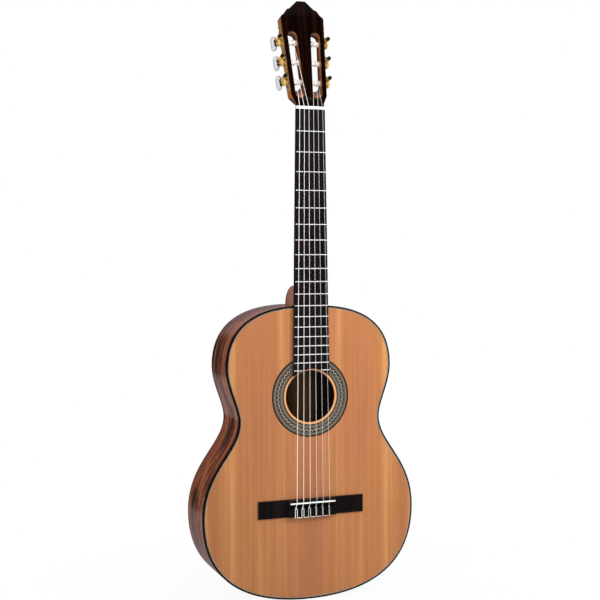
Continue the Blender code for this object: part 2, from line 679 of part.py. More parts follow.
def fret_z(number):
    return NUT_Z - SCALE_LENGTH * (1 - 2 ** (-number / 12))


def make_fingerboard():
    """The board with its frets: a side profile with a bump for each fret, trimmed to the plan."""
    profile = [(-GAP, NUT_Z - GAP), (-FINGERBOARD_TOP, NUT_Z - GAP)]
    for number in range(1, FRET_COUNT + 1):
        z = fret_z(number)
        for offset, height in ((FRET_BASE, 0), (FRET_CROWN, FRET_HEIGHT),
                               (-FRET_CROWN, FRET_HEIGHT), (-FRET_BASE, 0)):
            profile.append((-FINGERBOARD_TOP - height, z + offset / 2))
    profile += [(-FINGERBOARD_TOP, FINGERBOARD_END_Z), (-GAP, FINGERBOARD_END_Z)]
    mesh = flat_mesh("fingerboard", [profile])
    for vertex in mesh.vertices:
        y, z, side = vertex.co
        vertex.co = (side * 80 * MM, y, z)
    board = add_object("fingerboard", mesh, "ebony", parts)

    low, high = FINGERBOARD_END_Z - 5 * MM, NUT_Z + 5 * MM
    edge = [(board_half_width(low), low), (board_half_width(high), high)]
    plan = slab("plan", [edge + [(-x, z) for x, z in edge[::-1]]], -20 * MM, 20 * MM)
    cut(board, [add_cutter("fingerboard_plan", plan)], "INTERSECT")
    end = rod(FINGERBOARD_END_RADIUS, -20 * MM, 20 * MM, "Y", (0, 0, SOUNDHOLE_Z), 64)
    cut(board, [add_cutter("fingerboard_end", end)])


def heel_cap_half_width(z):
    """The heel's flat end is a pointed arch."""
    rise = min(max((z - BODY_LENGTH) / HEEL_CAP_LENGTH, 0.0), 1.0)
    return HEEL_CAP_HALF_WIDTH * (1 - rise ** HEEL_CAP_SIDE_POWER) ** HEEL_CAP_TIP_POWER


def neck_section(z):
    """Half widths across the neck from its flat front to its back, at height z."""
    share = min(max((HEEL_START - z) / (HEEL_START - HEEL_CAP_TOP), 0.0), 1.0)
    bow = 1 - math.sqrt(max(1 - share ** HEEL_SWEEP_POWER, 0.0))
    shaft_depth = NECK_DEPTH_AT_NUT + NECK_DEPTH_GAIN * (NUT_Z - z) / (NUT_Z - fret_z(9))
    heel_depth = back_face(BODY_LENGTH) - HEEL_CAP_THICKNESS - GAP
    depth = shaft_depth + (heel_depth - shaft_depth) * bow
    width = board_half_width(max(z, BODY_LENGTH))
    heel_back = heel_cap_half_width(z)
    section = []
    for fraction in (0.0, 0.12, 0.3, 0.5, 0.7, 0.86, 0.96, 1.0):
        round_back = (1 - fraction ** NECK_BACK_POWER) ** (1 / NECK_SIDE_POWER) * width
        heel_side = heel_back + (width - heel_back) * (1 - fraction) ** HEEL_FLARE_POWER
        half = round_back + (heel_side - round_back) * bow
        section.append((max(half, NECK_BACK_FLAT), depth * fraction))
    return section


def make_neck():
    """Neck shaft and heel as a loft of sections, joined to the slotted head."""
    bm = bmesh.new()
    rings = []
    for height in NECK_HEIGHTS:
        z = height * MM
        half = neck_section(z)
        ring = [(x, y) for x, y in half] + [(-x, y) for x, y in half[::-1]]
        rings.append([bm.verts.new((x, y, z)) for x, y in ring])
    for low, high in zip(rings, rings[1:]):
        for i in range(len(low)):
            j = (i + 1) % len(low)
            bm.faces.new((low[i], low[j], high[j], high[i]))
    bm.faces.new(rings[0])
    bm.faces.new(rings[-1])
    bmesh.ops.triangulate(bm, faces=[f for f in bm.faces if len(f.verts) > 4])
    neck = add_object("neck", mesh_from_bmesh(bm, "neck"), "mahogany", parts)

    head = slab("head", [head_loop(0.0)], VENEER_THICKNESS + GAP, HEAD_THICKNESS)
    for vertex in head.vertices:
        x, y, z = vertex.co
        if y > HEAD_THICKNESS / 2 and z < HEAD_SQUARE_HEIGHT:
            share = HEAD_ROOT_BACK_SHARE + (1 - HEAD_ROOT_BACK_SHARE) * z / HEAD_SQUARE_HEIGHT
            vertex.co.x = x * share
    cut(neck, [add_cutter("head_blank", head, head_frame)], "UNION")
    nut_seat = slab("seat", [rectangle(-40 * MM, 40 * MM, NUT_Z - 20 * MM, NUT_Z + NUT_LENGTH + GAP)],
                    -40 * MM, 0.0)
    cutters = [add_cutter("nut_seat", nut_seat)]
    for side in (-1, 1):
        cutters += [slot_cutter(side, "head")] + bore_cutters(side)
    cut(neck, cutters)


def head_loop(start):
    """The head's outline from a height above the nut to its pointed top."""
    right = [(HEAD_ROOT_HALF_WIDTH, start)] + [(x * MM, z * MM) for x, z in HEAD_HALF_OUTLINE]
    return right + [(-x, z) for x, z in right[::-1]]


def slot_cutter(side, label):
    """A string slot with straight sides and round ends, the lower one a ramp."""
    radius = SLOT_WIDTH / 2
    x = -side * (HEAD_RIM_WIDTH + radius)
    low = SLOT_BOTTOM - MIDDLE_TUNER_HEIGHT + radius
    high = SLOT_TOP - MIDDLE_TUNER_HEIGHT - radius
    angles = [math.pi * i / 6 for i in range(7)]
    loop = [(x + radius * math.cos(a), high + radius * math.sin(a)) for a in angles]
    loop += [(x - radius * math.cos(a), low - radius * math.sin(a)) for a in angles]
    mesh = slab("slot", [loop], -HEAD_THICKNESS, HEAD_THICKNESS)
    for vertex in mesh.vertices:
        if vertex.co.z < (low + high) / 2:
            vertex.co.z += SLOT_RAMP * (vertex.co.y / HEAD_THICKNESS + 0.5)
    return add_cutter("%s_slot_%d" % (label, side), mesh, tuner_frames[side])


def bore_cutters(side):
    """Bores beside one slot for its three rollers' journals and end pins."""
    cutters = []
    inner = HEAD_RIM_WIDTH + SLOT_WIDTH
    for number in (-1, 0, 1):
        z = number * TUNER_SPACING
        for name, radius, near, far, segments in (
                ("journal", JOURNAL_RADIUS, 2 * MM, -inner + MM, 12),
                ("pin", PIN_RADIUS, -inner + 2 * MM, -inner - PIN_LENGTH - GAP, 10)):
            low, high = sorted((side * near, side * far))
            bore = rod(radius + GAP, low, high, "X", (0, 0, z), segments)
            cutters.append(add_cutter("%s_bore_%d_%d" % (name, side, number), bore,
                                      tuner_frames[side]))
    return cutters


def make_head_veneer():
    start = (NUT_LENGTH + 2 * GAP) / math.cos(HEAD_TILT)
    mesh = slab("head_veneer", [head_loop(start)], 0.0, VENEER_THICKNESS)
    veneer = add_object("head_veneer", mesh, "dark_rosewood", parts, head_frame)
    cut(veneer, [slot_cutter(-1, "veneer"), slot_cutter(1, "veneer")])


def make_heel_cap():
    steps = 7
    heights = [BODY_LENGTH + GAP + (HEEL_CAP_LENGTH - GAP) * i / steps for i in range(steps)]
    right = [(heel_cap_half_width(z), z) for z in heights] + [(0.0, HEEL_CAP_TOP)]
    loop = right + [(-x, z) for x, z in right[-2::-1]]
    face = back_face(BODY_LENGTH)
    cap = slab("heel_cap", [loop], face - HEEL_CAP_THICKNESS, face)
    add_object("heel_cap", cap, "ebony", parts)


# --- tuning machines --------------------------------------------------------------------------
def gear_mesh():
    """A gear about X with a gap facing +Z at its mid-plane; its teeth lean to match the worm."""
    root = GEAR_PITCH_RADIUS - GEAR_DEDENDUM
    tip = GEAR_PITCH_RADIUS + GEAR_ADDENDUM
    taper = math.tan(PRESSURE_ANGLE)
    root_half = TOOTH_THICKNESS / 2 + GEAR_DEDENDUM * taper
    tip_half = TOOTH_THICKNESS / 2 - GEAR_ADDENDUM * taper
    lead = AXIAL_PITCH / (math.tau * WORM_PITCH_RADIUS)
    twist_per_length = lead / GEAR_PITCH_RADIUS
    loop = []
    for tooth in range(GEAR_TEETH):
        centre = math.tau * (tooth + 0.5) / GEAR_TEETH
        for radius, half in ((root, -root_half), (tip, -tip_half), (tip, tip_half), (root, root_half)):
            angle = centre + half / radius
            loop.append((radius * math.sin(angle), radius * math.cos(angle)))
    mesh = flat_mesh("gear", [loop, circle(SPIGOT_RADIUS + GAP, 0, 0, 10)])
    for vertex in mesh.vertices:
        u, v, side = vertex.co
        x = side * GEAR_WIDTH
        twist = twist_per_length * x
        # a positive turn about X carries +Z towards -Y
        vertex.co = (x, -(u * math.cos(twist) + v * math.sin(twist)),
                     v * math.cos(twist) - u * math.sin(twist))
    mesh.flip_normals()
    return mesh


def worm_shaft_mesh():
    """The shaft about Y: front ball, journals, thread and rear collar, its origin at mid-thread."""
    profile = [(BALL_CENTRE - BALL_RADIUS, 0.0)]
    for step in range(1, 5):
        angle = math.pi * (1 - step / 5.4)
        profile.append((BALL_CENTRE + BALL_RADIUS * math.cos(angle), BALL_RADIUS * math.sin(angle)))
    collar_front = EAR_OFFSET + EAR_THICKNESS / 2 + GAP
    collar_back = BUTTON_CENTRE - BUTTON_HALF_LENGTH - GAP
    profile += [(BALL_CENTRE + BALL_RADIUS * BALL_CUT, THREAD_CORE_RADIUS),
                (collar_front, THREAD_CORE_RADIUS),
                (collar_front, COLLAR_FRONT_RADIUS),
                (collar_back - 2.6 * MM, COLLAR_WAIST_RADIUS),
                (collar_back - 1.6 * MM, COLLAR_FLANGE_RADIUS),
                (collar_back, COLLAR_BACK_RADIUS),
                (collar_back, STUB_RADIUS),
                (BUTTON_CENTRE, STUB_RADIUS),
                (BUTTON_CENTRE, 0.0)]
    return turned(profile, "Y", 8)


def thread_mesh():
    """A right-hand thread about Y whose crest faces -Z at the origin."""
    taper = math.tan(PRESSURE_ANGLE)
    crest = WORM_PITCH_RADIUS + THREAD_ADDENDUM
    sunk = THREAD_CORE_RADIUS - THREAD_ROOT_SINK
    crest_half = TOOTH_THICKNESS / 2 - THREAD_ADDENDUM * taper
    sunk_half = TOOTH_THICKNESS / 2 + (WORM_PITCH_RADIUS - sunk) * taper
    bm = bmesh.new()
    start = -AXIAL_PITCH * THREAD_TURNS / 2
    corners = [(sunk, -sunk_half), (crest, -crest_half), (crest, crest_half), (sunk, sunk_half)]
    start_angle = math.pi * THREAD_TURNS      # half its turning, so that its middle faces -Z
    section = []
    for radius, along in corners:
        place = Vector((0, start + along, -radius))
        place.rotate(Matrix.Rotation(-start_angle, 3, "Y"))
        section.append(bm.verts.new(place))
    face = bm.faces.new(section)
    bmesh.ops.spin(bm, geom=[face], axis=(0, 1, 0), cent=(0, 0, 0),
                   dvec=(0, AXIAL_PITCH / THREAD_STEPS_PER_TURN, 0),
                   angle=math.tau * THREAD_TURNS, steps=int(THREAD_TURNS * THREAD_STEPS_PER_TURN))
    return mesh_from_bmesh(bm, "thread")


def roller_mesh(side):
    """A string roller about X in its side frame: pin, sleeve, journal, spigot and screw head."""
    inner = -(HEAD_RIM_WIDTH + SLOT_WIDTH)
    gear_in = MECHANISM_OFFSET - GEAR_WIDTH / 2 - GAP
    gear_out = MECHANISM_OFFSET + GEAR_WIDTH / 2 + GAP
    profile = [(inner - PIN_LENGTH, 0.0), (inner - PIN_LENGTH, PIN_RADIUS),
               (inner + GAP, PIN_RADIUS), (inner + GAP, ROLLER_RADIUS),
               (-HEAD_RIM_WIDTH - GAP, ROLLER_RADIUS), (-HEAD_RIM_WIDTH - GAP, JOURNAL_RADIUS),
               (gear_in, JOURNAL_RADIUS), (gear_in, SPIGOT_RADIUS),
               (gear_out, SPIGOT_RADIUS)]
    profile += [(gear_out + along, radius) for along, radius in SCREW_PROFILE]
    if side < 0:
        profile = [(-along, radius) for along, radius in profile[::-1]]
    return turned(profile, "X")


def button_mesh():
    """An oval button about Y, its flat front face bored for the shaft."""
    bm = bmesh.new()
    bmesh.ops.create_uvsphere(bm, u_segments=10, v_segments=7, radius=1.0,
                              matrix=Matrix.Rotation(math.radians(90), 4, "X"))
    reach = BUTTON_HALF_LENGTH * BUTTON_OVAL_REACH
    bmesh.ops.scale(bm, vec=(BUTTON_HALF_THICKNESS, reach, BUTTON_HALF_HEIGHT), verts=bm.verts)
    bmesh.ops.bisect_plane(bm, geom=bm.verts[:] + bm.edges[:] + bm.faces[:],
                           plane_co=(0, -BUTTON_HALF_LENGTH, 0), plane_no=(0, -1, 0),
                           clear_outer=True)
    bmesh.ops.holes_fill(bm, edges=[e for e in bm.edges if e.is_boundary])
    bmesh.ops.translate(bm, vec=(0, BUTTON_CENTRE, 0), verts=bm.verts)
    return mesh_from_bmesh(bm, "button")


def plate_outline():
    """Long side plate with pointed, waisted ends: distance along the head against depth."""
    right = [(x * MM, z * MM) for x, z in PLATE_HALF_OUTLINE]
    top = right + [(-x, z) for x, z in right[::-1]]
    return top + [(-x, -z * PLATE_LOWER_SHARE) for x, z in top]


def make_plate(side, label):
    frame = tuner_frames[side]
    mesh = flat_mesh("plate", [plate_outline()])
    for vertex in mesh.vertices:
        y, z, half = vertex.co
        vertex.co = (side * (GAP + PLATE_THICKNESS * (0.5 + half)), y * side, z)
    if side > 0:
        mesh.flip_normals()
    plate = add_object("tuner_plate_" + label, mesh, "gilt_brass", parts, frame)
    ears = []
    holes = []
    ear_length = MECHANISM_OFFSET + EAR_REACH - GAP - PLATE_THICKNESS / 2
    for number in (-1, 0, 1):
        z = number * TUNER_SPACING
        for direction in (-1, 1):
            ear = box((ear_length, EAR_THICKNESS, EAR_WIDTH),
                      (side * (GAP + PLATE_THICKNESS / 2 + ear_length / 2), direction * EAR_OFFSET,
                       z + WORM_TO_GEAR))
            ears.append(add_cutter("ear_%s_%d_%d" % (label, number, direction), ear, frame))
        shaft = rod(THREAD_CORE_RADIUS + GAP, -12 * MM, 12 * MM, "Y",
                    (side * MECHANISM_OFFSET, 0, z + WORM_TO_GEAR), 10)
        bore = rod(JOURNAL_RADIUS + GAP, -3 * MM, 3 * MM, "X", (0, 0, z))
        holes.append(add_cutter("shaft_hole_%s_%d" % (label, number), shaft, frame))
        holes.append(add_cutter("journal_hole_%s_%d" % (label, number), bore, frame))
    cut(plate, ears, "UNION")
    cut(plate, holes)


def make_tuners():
    for side, label in ((-1, "bass"), (1, "treble")):
        frame = tuner_frames[side]
        make_plate(side, label)
        for number in (1, 2, 3):
            name = "%s_%d" % (label, number)
            z = (number - 2) * TUNER_SPACING
            add_object("string_roller_" + name, roller_mesh(side), "roller_plastic", parts,
                       frame, (0, 0, z), smooth=40)
            add_object("worm_gear_" + name, gear_mesh(), "gilt_brass", parts, frame,
                       (side * MECHANISM_OFFSET, 0, z))
            worm_place = (side * MECHANISM_OFFSET, 0, z + WORM_TO_GEAR)
            worm = add_object("worm_shaft_" + name, worm_shaft_mesh(), "black_steel", parts, frame,
                              worm_place)
            thread = add_cutter("thread_" + name, thread_mesh(), frame,
                                Matrix.Translation(worm_place))
            cut(worm, [thread], "UNION")
            button = add_object("button_" + name, button_mesh(), "pearloid", parts, frame,
                                worm_place, smooth=50)
            bore = rod(STUB_RADIUS + GAP, BUTTON_CENTRE - 2 * BUTTON_HALF_LENGTH,
                       BUTTON_CENTRE + 2 * GAP, "Y", segments=8)
            cut(button, [add_cutter("button_bore_" + name, bore, frame,
                                    Matrix.Translation(worm_place))])


# --- assembly ---------------------------------------------------------------------------------
clear_scene()
parts = new_collection("classical_guitar")
cutter_collection = new_collection("cutters")

body_frame = add_frame("body_frame", parts, matrix=Matrix.Translation((0, -TAIL_CENTRE_DEPTH, 0)))
head_frame = add_frame("head_frame", parts, body_frame,
                       matrix=Matrix.Translation((0, -HEAD_FACE_AT_NUT, NUT_Z))
                       @ Matrix.Rotation(-HEAD_TILT, 4, "X"))
tuner_frames = {}
for tuner_side, tuner_label in ((-1, "bass"), (1, "treble")):
    place = Matrix.Translation((tuner_side * HEAD_SIDE_HALF_WIDTH, HEAD_THICKNESS / 2,
                                MIDDLE_TUNER_HEIGHT))
    lean = Matrix.Rotation(tuner_side * math.atan(HEAD_SIDE_SLOPE), 4, "Y")
    tuner_frames[tuner_side] = add_frame("tuner_frame_" + tuner_label, parts, head_frame,
                                         place @ lean)
bpy.context.view_layer.update()

make_soundboard()
make_rosette()
make_back()
make_sides()
make_bindings()
make_linings()
make_blocks()
make_end_graft()
make_bracing()
make_back_bracing()
make_bridge()
make_saddle()
make_nut()
make_strings()
make_fingerboard()
make_neck()
make_head_veneer()
make_heel_cap()
make_tuners()
bpy.context.view_layer.update()
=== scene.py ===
"""Visual model of a classical guitar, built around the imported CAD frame.

Shapes are given in the body frame (Y measured back from the soundboard's face), in the head's frame,
or in each tuning machine's own frame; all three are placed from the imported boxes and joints.
"""
import json
import math

import bmesh
import bpy
from mathutils import Matrix, Vector


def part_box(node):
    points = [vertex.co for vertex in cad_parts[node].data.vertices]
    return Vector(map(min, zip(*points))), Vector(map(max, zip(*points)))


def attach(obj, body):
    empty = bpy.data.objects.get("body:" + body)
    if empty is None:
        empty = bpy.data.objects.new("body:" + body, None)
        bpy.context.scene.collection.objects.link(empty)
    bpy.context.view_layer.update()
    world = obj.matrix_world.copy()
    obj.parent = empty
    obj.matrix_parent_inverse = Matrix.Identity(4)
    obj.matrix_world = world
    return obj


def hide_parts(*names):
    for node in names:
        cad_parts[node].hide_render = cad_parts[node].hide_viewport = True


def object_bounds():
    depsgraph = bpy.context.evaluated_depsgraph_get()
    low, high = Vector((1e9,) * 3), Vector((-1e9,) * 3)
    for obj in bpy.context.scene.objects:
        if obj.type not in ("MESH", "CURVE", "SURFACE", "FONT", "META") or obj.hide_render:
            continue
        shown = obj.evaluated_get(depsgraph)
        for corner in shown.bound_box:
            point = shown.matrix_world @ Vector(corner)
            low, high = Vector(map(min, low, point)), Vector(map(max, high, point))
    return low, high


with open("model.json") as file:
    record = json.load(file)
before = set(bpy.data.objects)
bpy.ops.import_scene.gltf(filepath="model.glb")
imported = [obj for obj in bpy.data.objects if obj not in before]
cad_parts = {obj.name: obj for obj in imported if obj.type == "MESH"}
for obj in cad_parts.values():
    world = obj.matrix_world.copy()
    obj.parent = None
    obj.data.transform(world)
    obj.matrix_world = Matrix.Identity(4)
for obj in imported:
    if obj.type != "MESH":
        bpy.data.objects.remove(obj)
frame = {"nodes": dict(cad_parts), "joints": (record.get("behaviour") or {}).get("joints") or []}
cad_low, cad_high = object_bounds()

MM = 0.001
joints = {joint["name"]: joint for joint in frame["joints"]}
nodes = frame["nodes"]

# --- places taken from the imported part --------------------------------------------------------
FACE_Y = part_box("soundboard")[0].y
NUT_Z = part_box("nut")[0].z
NUT_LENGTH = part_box("nut")[1].z - NUT_Z
BODY_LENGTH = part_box("top_binding")[1].z
SADDLE_Z = (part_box("saddle")[0].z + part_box("saddle")[1].z) / 2
BRIDGE_LOW, BRIDGE_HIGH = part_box("bridge")
ROSETTE_LOW, ROSETTE_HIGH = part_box("rosette")
SOUNDHOLE_Z = (ROSETTE_LOW.z + ROSETTE_HIGH.z) / 2
ROSETTE_OUTER_RADIUS = (ROSETTE_HIGH.x - ROSETTE_LOW.x) / 2
SADDLE_HALF_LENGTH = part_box("saddle")[1].x
SADDLE_TOP = FACE_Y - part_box("saddle")[0].y
NUT_TOP = FACE_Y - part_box("nut")[0].y
NUT_HALF_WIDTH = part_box("nut")[1].x

# --- body shape -------------------------------------------------------------------------------
SCALE_LENGTH = 650 * MM
DEPTH_AT_TAIL = 100.4 * MM
DEPTH_AT_NECK = 86.7 * MM
LOWER_BOUT = (187.4 * MM, 145.6 * MM)
WAIST = (124.9 * MM, 303.2 * MM)
UPPER_BOUT = (146.1 * MM, 391.7 * MM)
TAIL_HANDLE = 119.6 * MM
OUTLINE_STEPS = 26
BASS_FIGURE_SHIFT = 0.7
SOUNDBOARD_THICKNESS = 2.5 * MM
SOUNDHOLE_RADIUS = 43.6 * MM
ROSETTE_INNER_RADIUS = 47.0 * MM
ROSETTE_THICKNESS = 1.2 * MM
BINDING_WIDTH = 2.5 * MM
BINDING_HEIGHT = 5.0 * MM
PURFLING = [(2.5 * MM, 2.9 * MM, "dark_purfling"), (2.9 * MM, 3.4 * MM, "light_purfling"),
            (3.4 * MM, 3.8 * MM, "dark_purfling"), (3.8 * MM, 4.4 * MM, "light_purfling")]
PURFLING_INSET = 4.4 * MM
RIB_THICKNESS = 2.2 * MM
BACK_THICKNESS = 2.6 * MM
BACK_DOME = 1.5 * MM
BACK_SLOPE = (DEPTH_AT_NECK - DEPTH_AT_TAIL) / BODY_LENGTH
GRAFT_HALF_WIDTH = 7 * MM
REAR_PURFLING_WIDTH = 0.7 * MM
SADDLE_HALF_THICKNESS = 1.05 * MM
WING_THICKNESS = 3.5 * MM
WING_TAPER_START = 44 * MM
TIE_HALF_LENGTH = 42 * MM

# --- neck, fingerboard and head ---------------------------------------------------------------
BOARD_SLOPE = 4.75 / 325
FINGERBOARD_TOP = 7.0 * MM
FINGERBOARD_END_RADIUS = 46.6 * MM
FRET_COUNT = 19
FRET_HEIGHT = 1.05 * MM
FRET_WIDTH = 1.5 * MM
HEEL_START = 576 * MM
HEEL_CAP_LENGTH = 31.5 * MM
HEEL_CAP_HALF_WIDTH = 13.5 * MM
HEEL_CAP_THICKNESS = 3.6 * MM
HEAD_TILT = math.atan2(-joints["tuning_key_bass_1_turn"]["axis"][2],
                       joints["tuning_key_bass_1_turn"]["axis"][1])
HEAD_FACE_AT_NUT = 6.0 * MM
HEAD_THICKNESS = 20.0 * MM
VENEER_THICKNESS = 2.0 * MM
HEAD_HALF_OUTLINE = [(24.8, 10.5), (31.275, 24.5), (38.0, 161.5), (36.6, 165.0), (33.0, 167.0),
                     (26.3, 176.4), (22.1, 177.7), (7.5, 192.0)]   # mm: half width, height
HEAD_ROOT_HALF_WIDTH = 24.5 * MM
HEAD_ROOT_BACK_SHARE = 0.4
HEAD_SQUARE_HEIGHT = 24.5 * MM
HEAD_SIDE_HALF_WIDTH = 34.25 * MM
HEAD_SIDE_SLOPE = 0.05
HEAD_RIM_WIDTH = 7.5 * MM
SLOT_WIDTH = 17.0 * MM
SLOT_BOTTOM = 17.6 * MM
SLOT_TOP = 136.3 * MM
SLOT_RAMP = 20.5 * MM
SLOT_SHADE_START = 6.5 * MM
SLOT_SHADE_DEPTH = 5.5 * MM
SLOT_SHADE_HALF_WIDTH = 29.5 * MM

# --- tuning machines --------------------------------------------------------------------------
MIDDLE_TUNER_HEIGHT = 84.0 * MM
TUNER_SPACING = 35.0 * MM
MECHANISM_OFFSET = 6.6 * MM
WORM_TO_GEAR = 8.3 * MM
GEAR_TEETH = 15
GEAR_PITCH_RADIUS = 5.7 * MM
WORM_PITCH_RADIUS = WORM_TO_GEAR - GEAR_PITCH_RADIUS
AXIAL_PITCH = math.tau * GEAR_PITCH_RADIUS / GEAR_TEETH
TOOTH_THICKNESS = 0.36 * AXIAL_PITCH
PRESSURE_TAPER = math.tan(math.radians(20))
GEAR_WIDTH = 3.0 * MM
THREAD_CORE_RADIUS = 1.7 * MM
EAR_OFFSET = 6.4 * MM
ROLLER_FLANGE_RADIUS = 5.0 * MM
ROLLER_RADIUS = 4.15 * MM
BUTTON_CENTRE = 23.6 * MM
BUTTON_FRONT = 14.8 * MM
PLATE_BOTTOM = -52.5 * MM
PLATE_TOP = 71.5 * MM
MIDDLE_RIVETS = (67.3, 51.0, 46.5, 26.5, 12.0, -8.7, -23.2)               # mm: height
EDGE_RIVETS = (56.0, 64.0, 38.5, 29.5, 6.0, -5.5, -29.0, -41.0)           # mm: height

# --- strings ----------------------------------------------------------------------------------
STRING_NAMES = ["E6", "A5", "D4", "G3", "B2", "E1"]
WOUND_STRINGS = 3
STRING_RADII = [0.55 * MM, 0.47 * MM, 0.41 * MM, 0.51 * MM, 0.41 * MM, 0.36 * MM]
STRING_SPREAD_AT_NUT = 40.5 * MM
STRING_SPREAD_AT_SADDLE = 58.5 * MM
STRING_HOLE_HEIGHT = 5.4 * MM
STRING_HOLE_RADIUS = 0.95 * MM
WINDING_PITCH = 0.45 * MM
TURNS_ON_ROLLER = 3.6

BODY = Matrix.Translation((0, FACE_Y, 0))
HEAD = BODY @ Matrix.Translation((0, -HEAD_FACE_AT_NUT, NUT_Z)) @ Matrix.Rotation(-HEAD_TILT, 4, "X")


# --- materials --------------------------------------------------------------------------------
class Look:
    """Short-hand for building one procedural material, or the world."""

    def __init__(self, name, kind="materials"):
        self.material = getattr(bpy.data, kind).new(name)
        self.material.use_nodes = True
        self.tree = self.material.node_tree
        self.tree.nodes.clear()

    def put(self, socket, value):
        if isinstance(value, bpy.types.NodeSocket):
            self.tree.links.new(value, socket)
        elif isinstance(value, tuple) and len(value) == 3 and socket.type == "RGBA":
            socket.default_value = (*value, 1.0)
        else:
            socket.default_value = value

    def add(self, kind, inputs=None, output=0, **settings):
        node = self.tree.nodes.new("ShaderNode" + kind)
        for key, value in settings.items():
            setattr(node, key, value)
        for key, value in (inputs or {}).items():
            self.put(node.inputs[key], value)
        return node.outputs[output]

    def place(self):
        return self.add("TexCoord", output="Object")

    def path(self):
        """Distance along a swept piece, then across it, in metres."""
        return self.add("Attribute", attribute_name="path", output="Vector")

    def split(self, vector):
        node = self.tree.nodes.new("ShaderNodeSeparateXYZ")
        self.tree.links.new(vector, node.inputs[0])
        return list(node.outputs)

    def join(self, x, y, z):
        return self.add("CombineXYZ", {0: x, 1: y, 2: z})

    def scaled(self, vector, scale, shift=(0, 0, 0)):
        return self.add("Mapping", {"Vector": vector, "Scale": scale, "Location": shift})

    def noise(self, vector, scale=(1, 1, 1), detail=2.0, rough=0.5, distortion=0.0, shift=(0, 0, 0)):
        return self.add("TexNoise", {"Vector": self.scaled(vector, scale, shift), "Scale": 1.0,
                                     "Detail": detail, "Roughness": rough,
                                     "Distortion": distortion})

    def math(self, operation, a, b=0.0, clamp=False):
        return self.add("Math", {0: a, 1: b}, operation=operation, use_clamp=clamp)

    def ramp(self, factor, stops, interpolation="LINEAR"):
        node = self.tree.nodes.new("ShaderNodeValToRGB")
        node.color_ramp.interpolation = interpolation
        elements = node.color_ramp.elements
        while len(elements) > 1:
            elements.remove(elements[-1])
        for index, (position, colour) in enumerate(stops):
            element = elements[0] if index == 0 else elements.new(position)
            element.position = position
            if not isinstance(colour, tuple):
                colour = (colour,) * 3
            element.color = (*colour, 1.0)
        self.tree.links.new(factor, node.inputs[0])
        return node.outputs[0]

    def mix(self, factor, a, b, blend="MIX"):
        node = self.tree.nodes.new("ShaderNodeMix")
        node.data_type = "RGBA"
        node.blend_type = blend
        for socket, value in ((0, factor), (6, a), (7, b)):
            self.put(node.inputs[socket], value)
        return node.outputs[2]

    def length(self, a, b):
        return self.math("SQRT", self.math("ADD", self.math("POWER", a, 2.0), self.math("POWER", b, 2.0)))

    def fade(self, value, start, end, low=0.0, high=1.0):
        """From low to high while the value goes from start to end."""
        return self.add("MapRange", {"Value": value, "From Min": start, "From Max": end,
                                     "To Min": low, "To Max": high})

    def mottled(self, colour, pattern, low, high, start=0.3, end=0.7):
        """A colour made darker and lighter by a pattern."""
        return self.mix(1.0, colour, self.ramp(pattern, [(start, low), (end, high)]), "MULTIPLY")

    def bump(self, height, distance, strength):
        return self.add("Bump", {"Height": height, "Distance": distance, "Strength": strength})

    def shade(self, colour, roughness, normal=None, **extra):
        values = {"Base Color": colour, "Roughness": roughness}
        if normal is not None:
            values["Normal"] = normal
        values.update({key.replace("_", " "): value for key, value in extra.items()})
        return self.surface(self.add("BsdfPrincipled", values))

    def surface(self, shader, output="OutputMaterial"):
        out = self.tree.nodes.new("ShaderNode" + output)
        self.tree.links.new(shader, out.inputs[0])
        return self.material


CEDAR_STREAK_PLACE = 67.5 * MM
CEDAR_STREAK_WIDTH = 4.5 * MM
BACK_LINE_HALF_WIDTHS = (3.2 * MM, 2.2 * MM)   # the light line, and the dark one on it


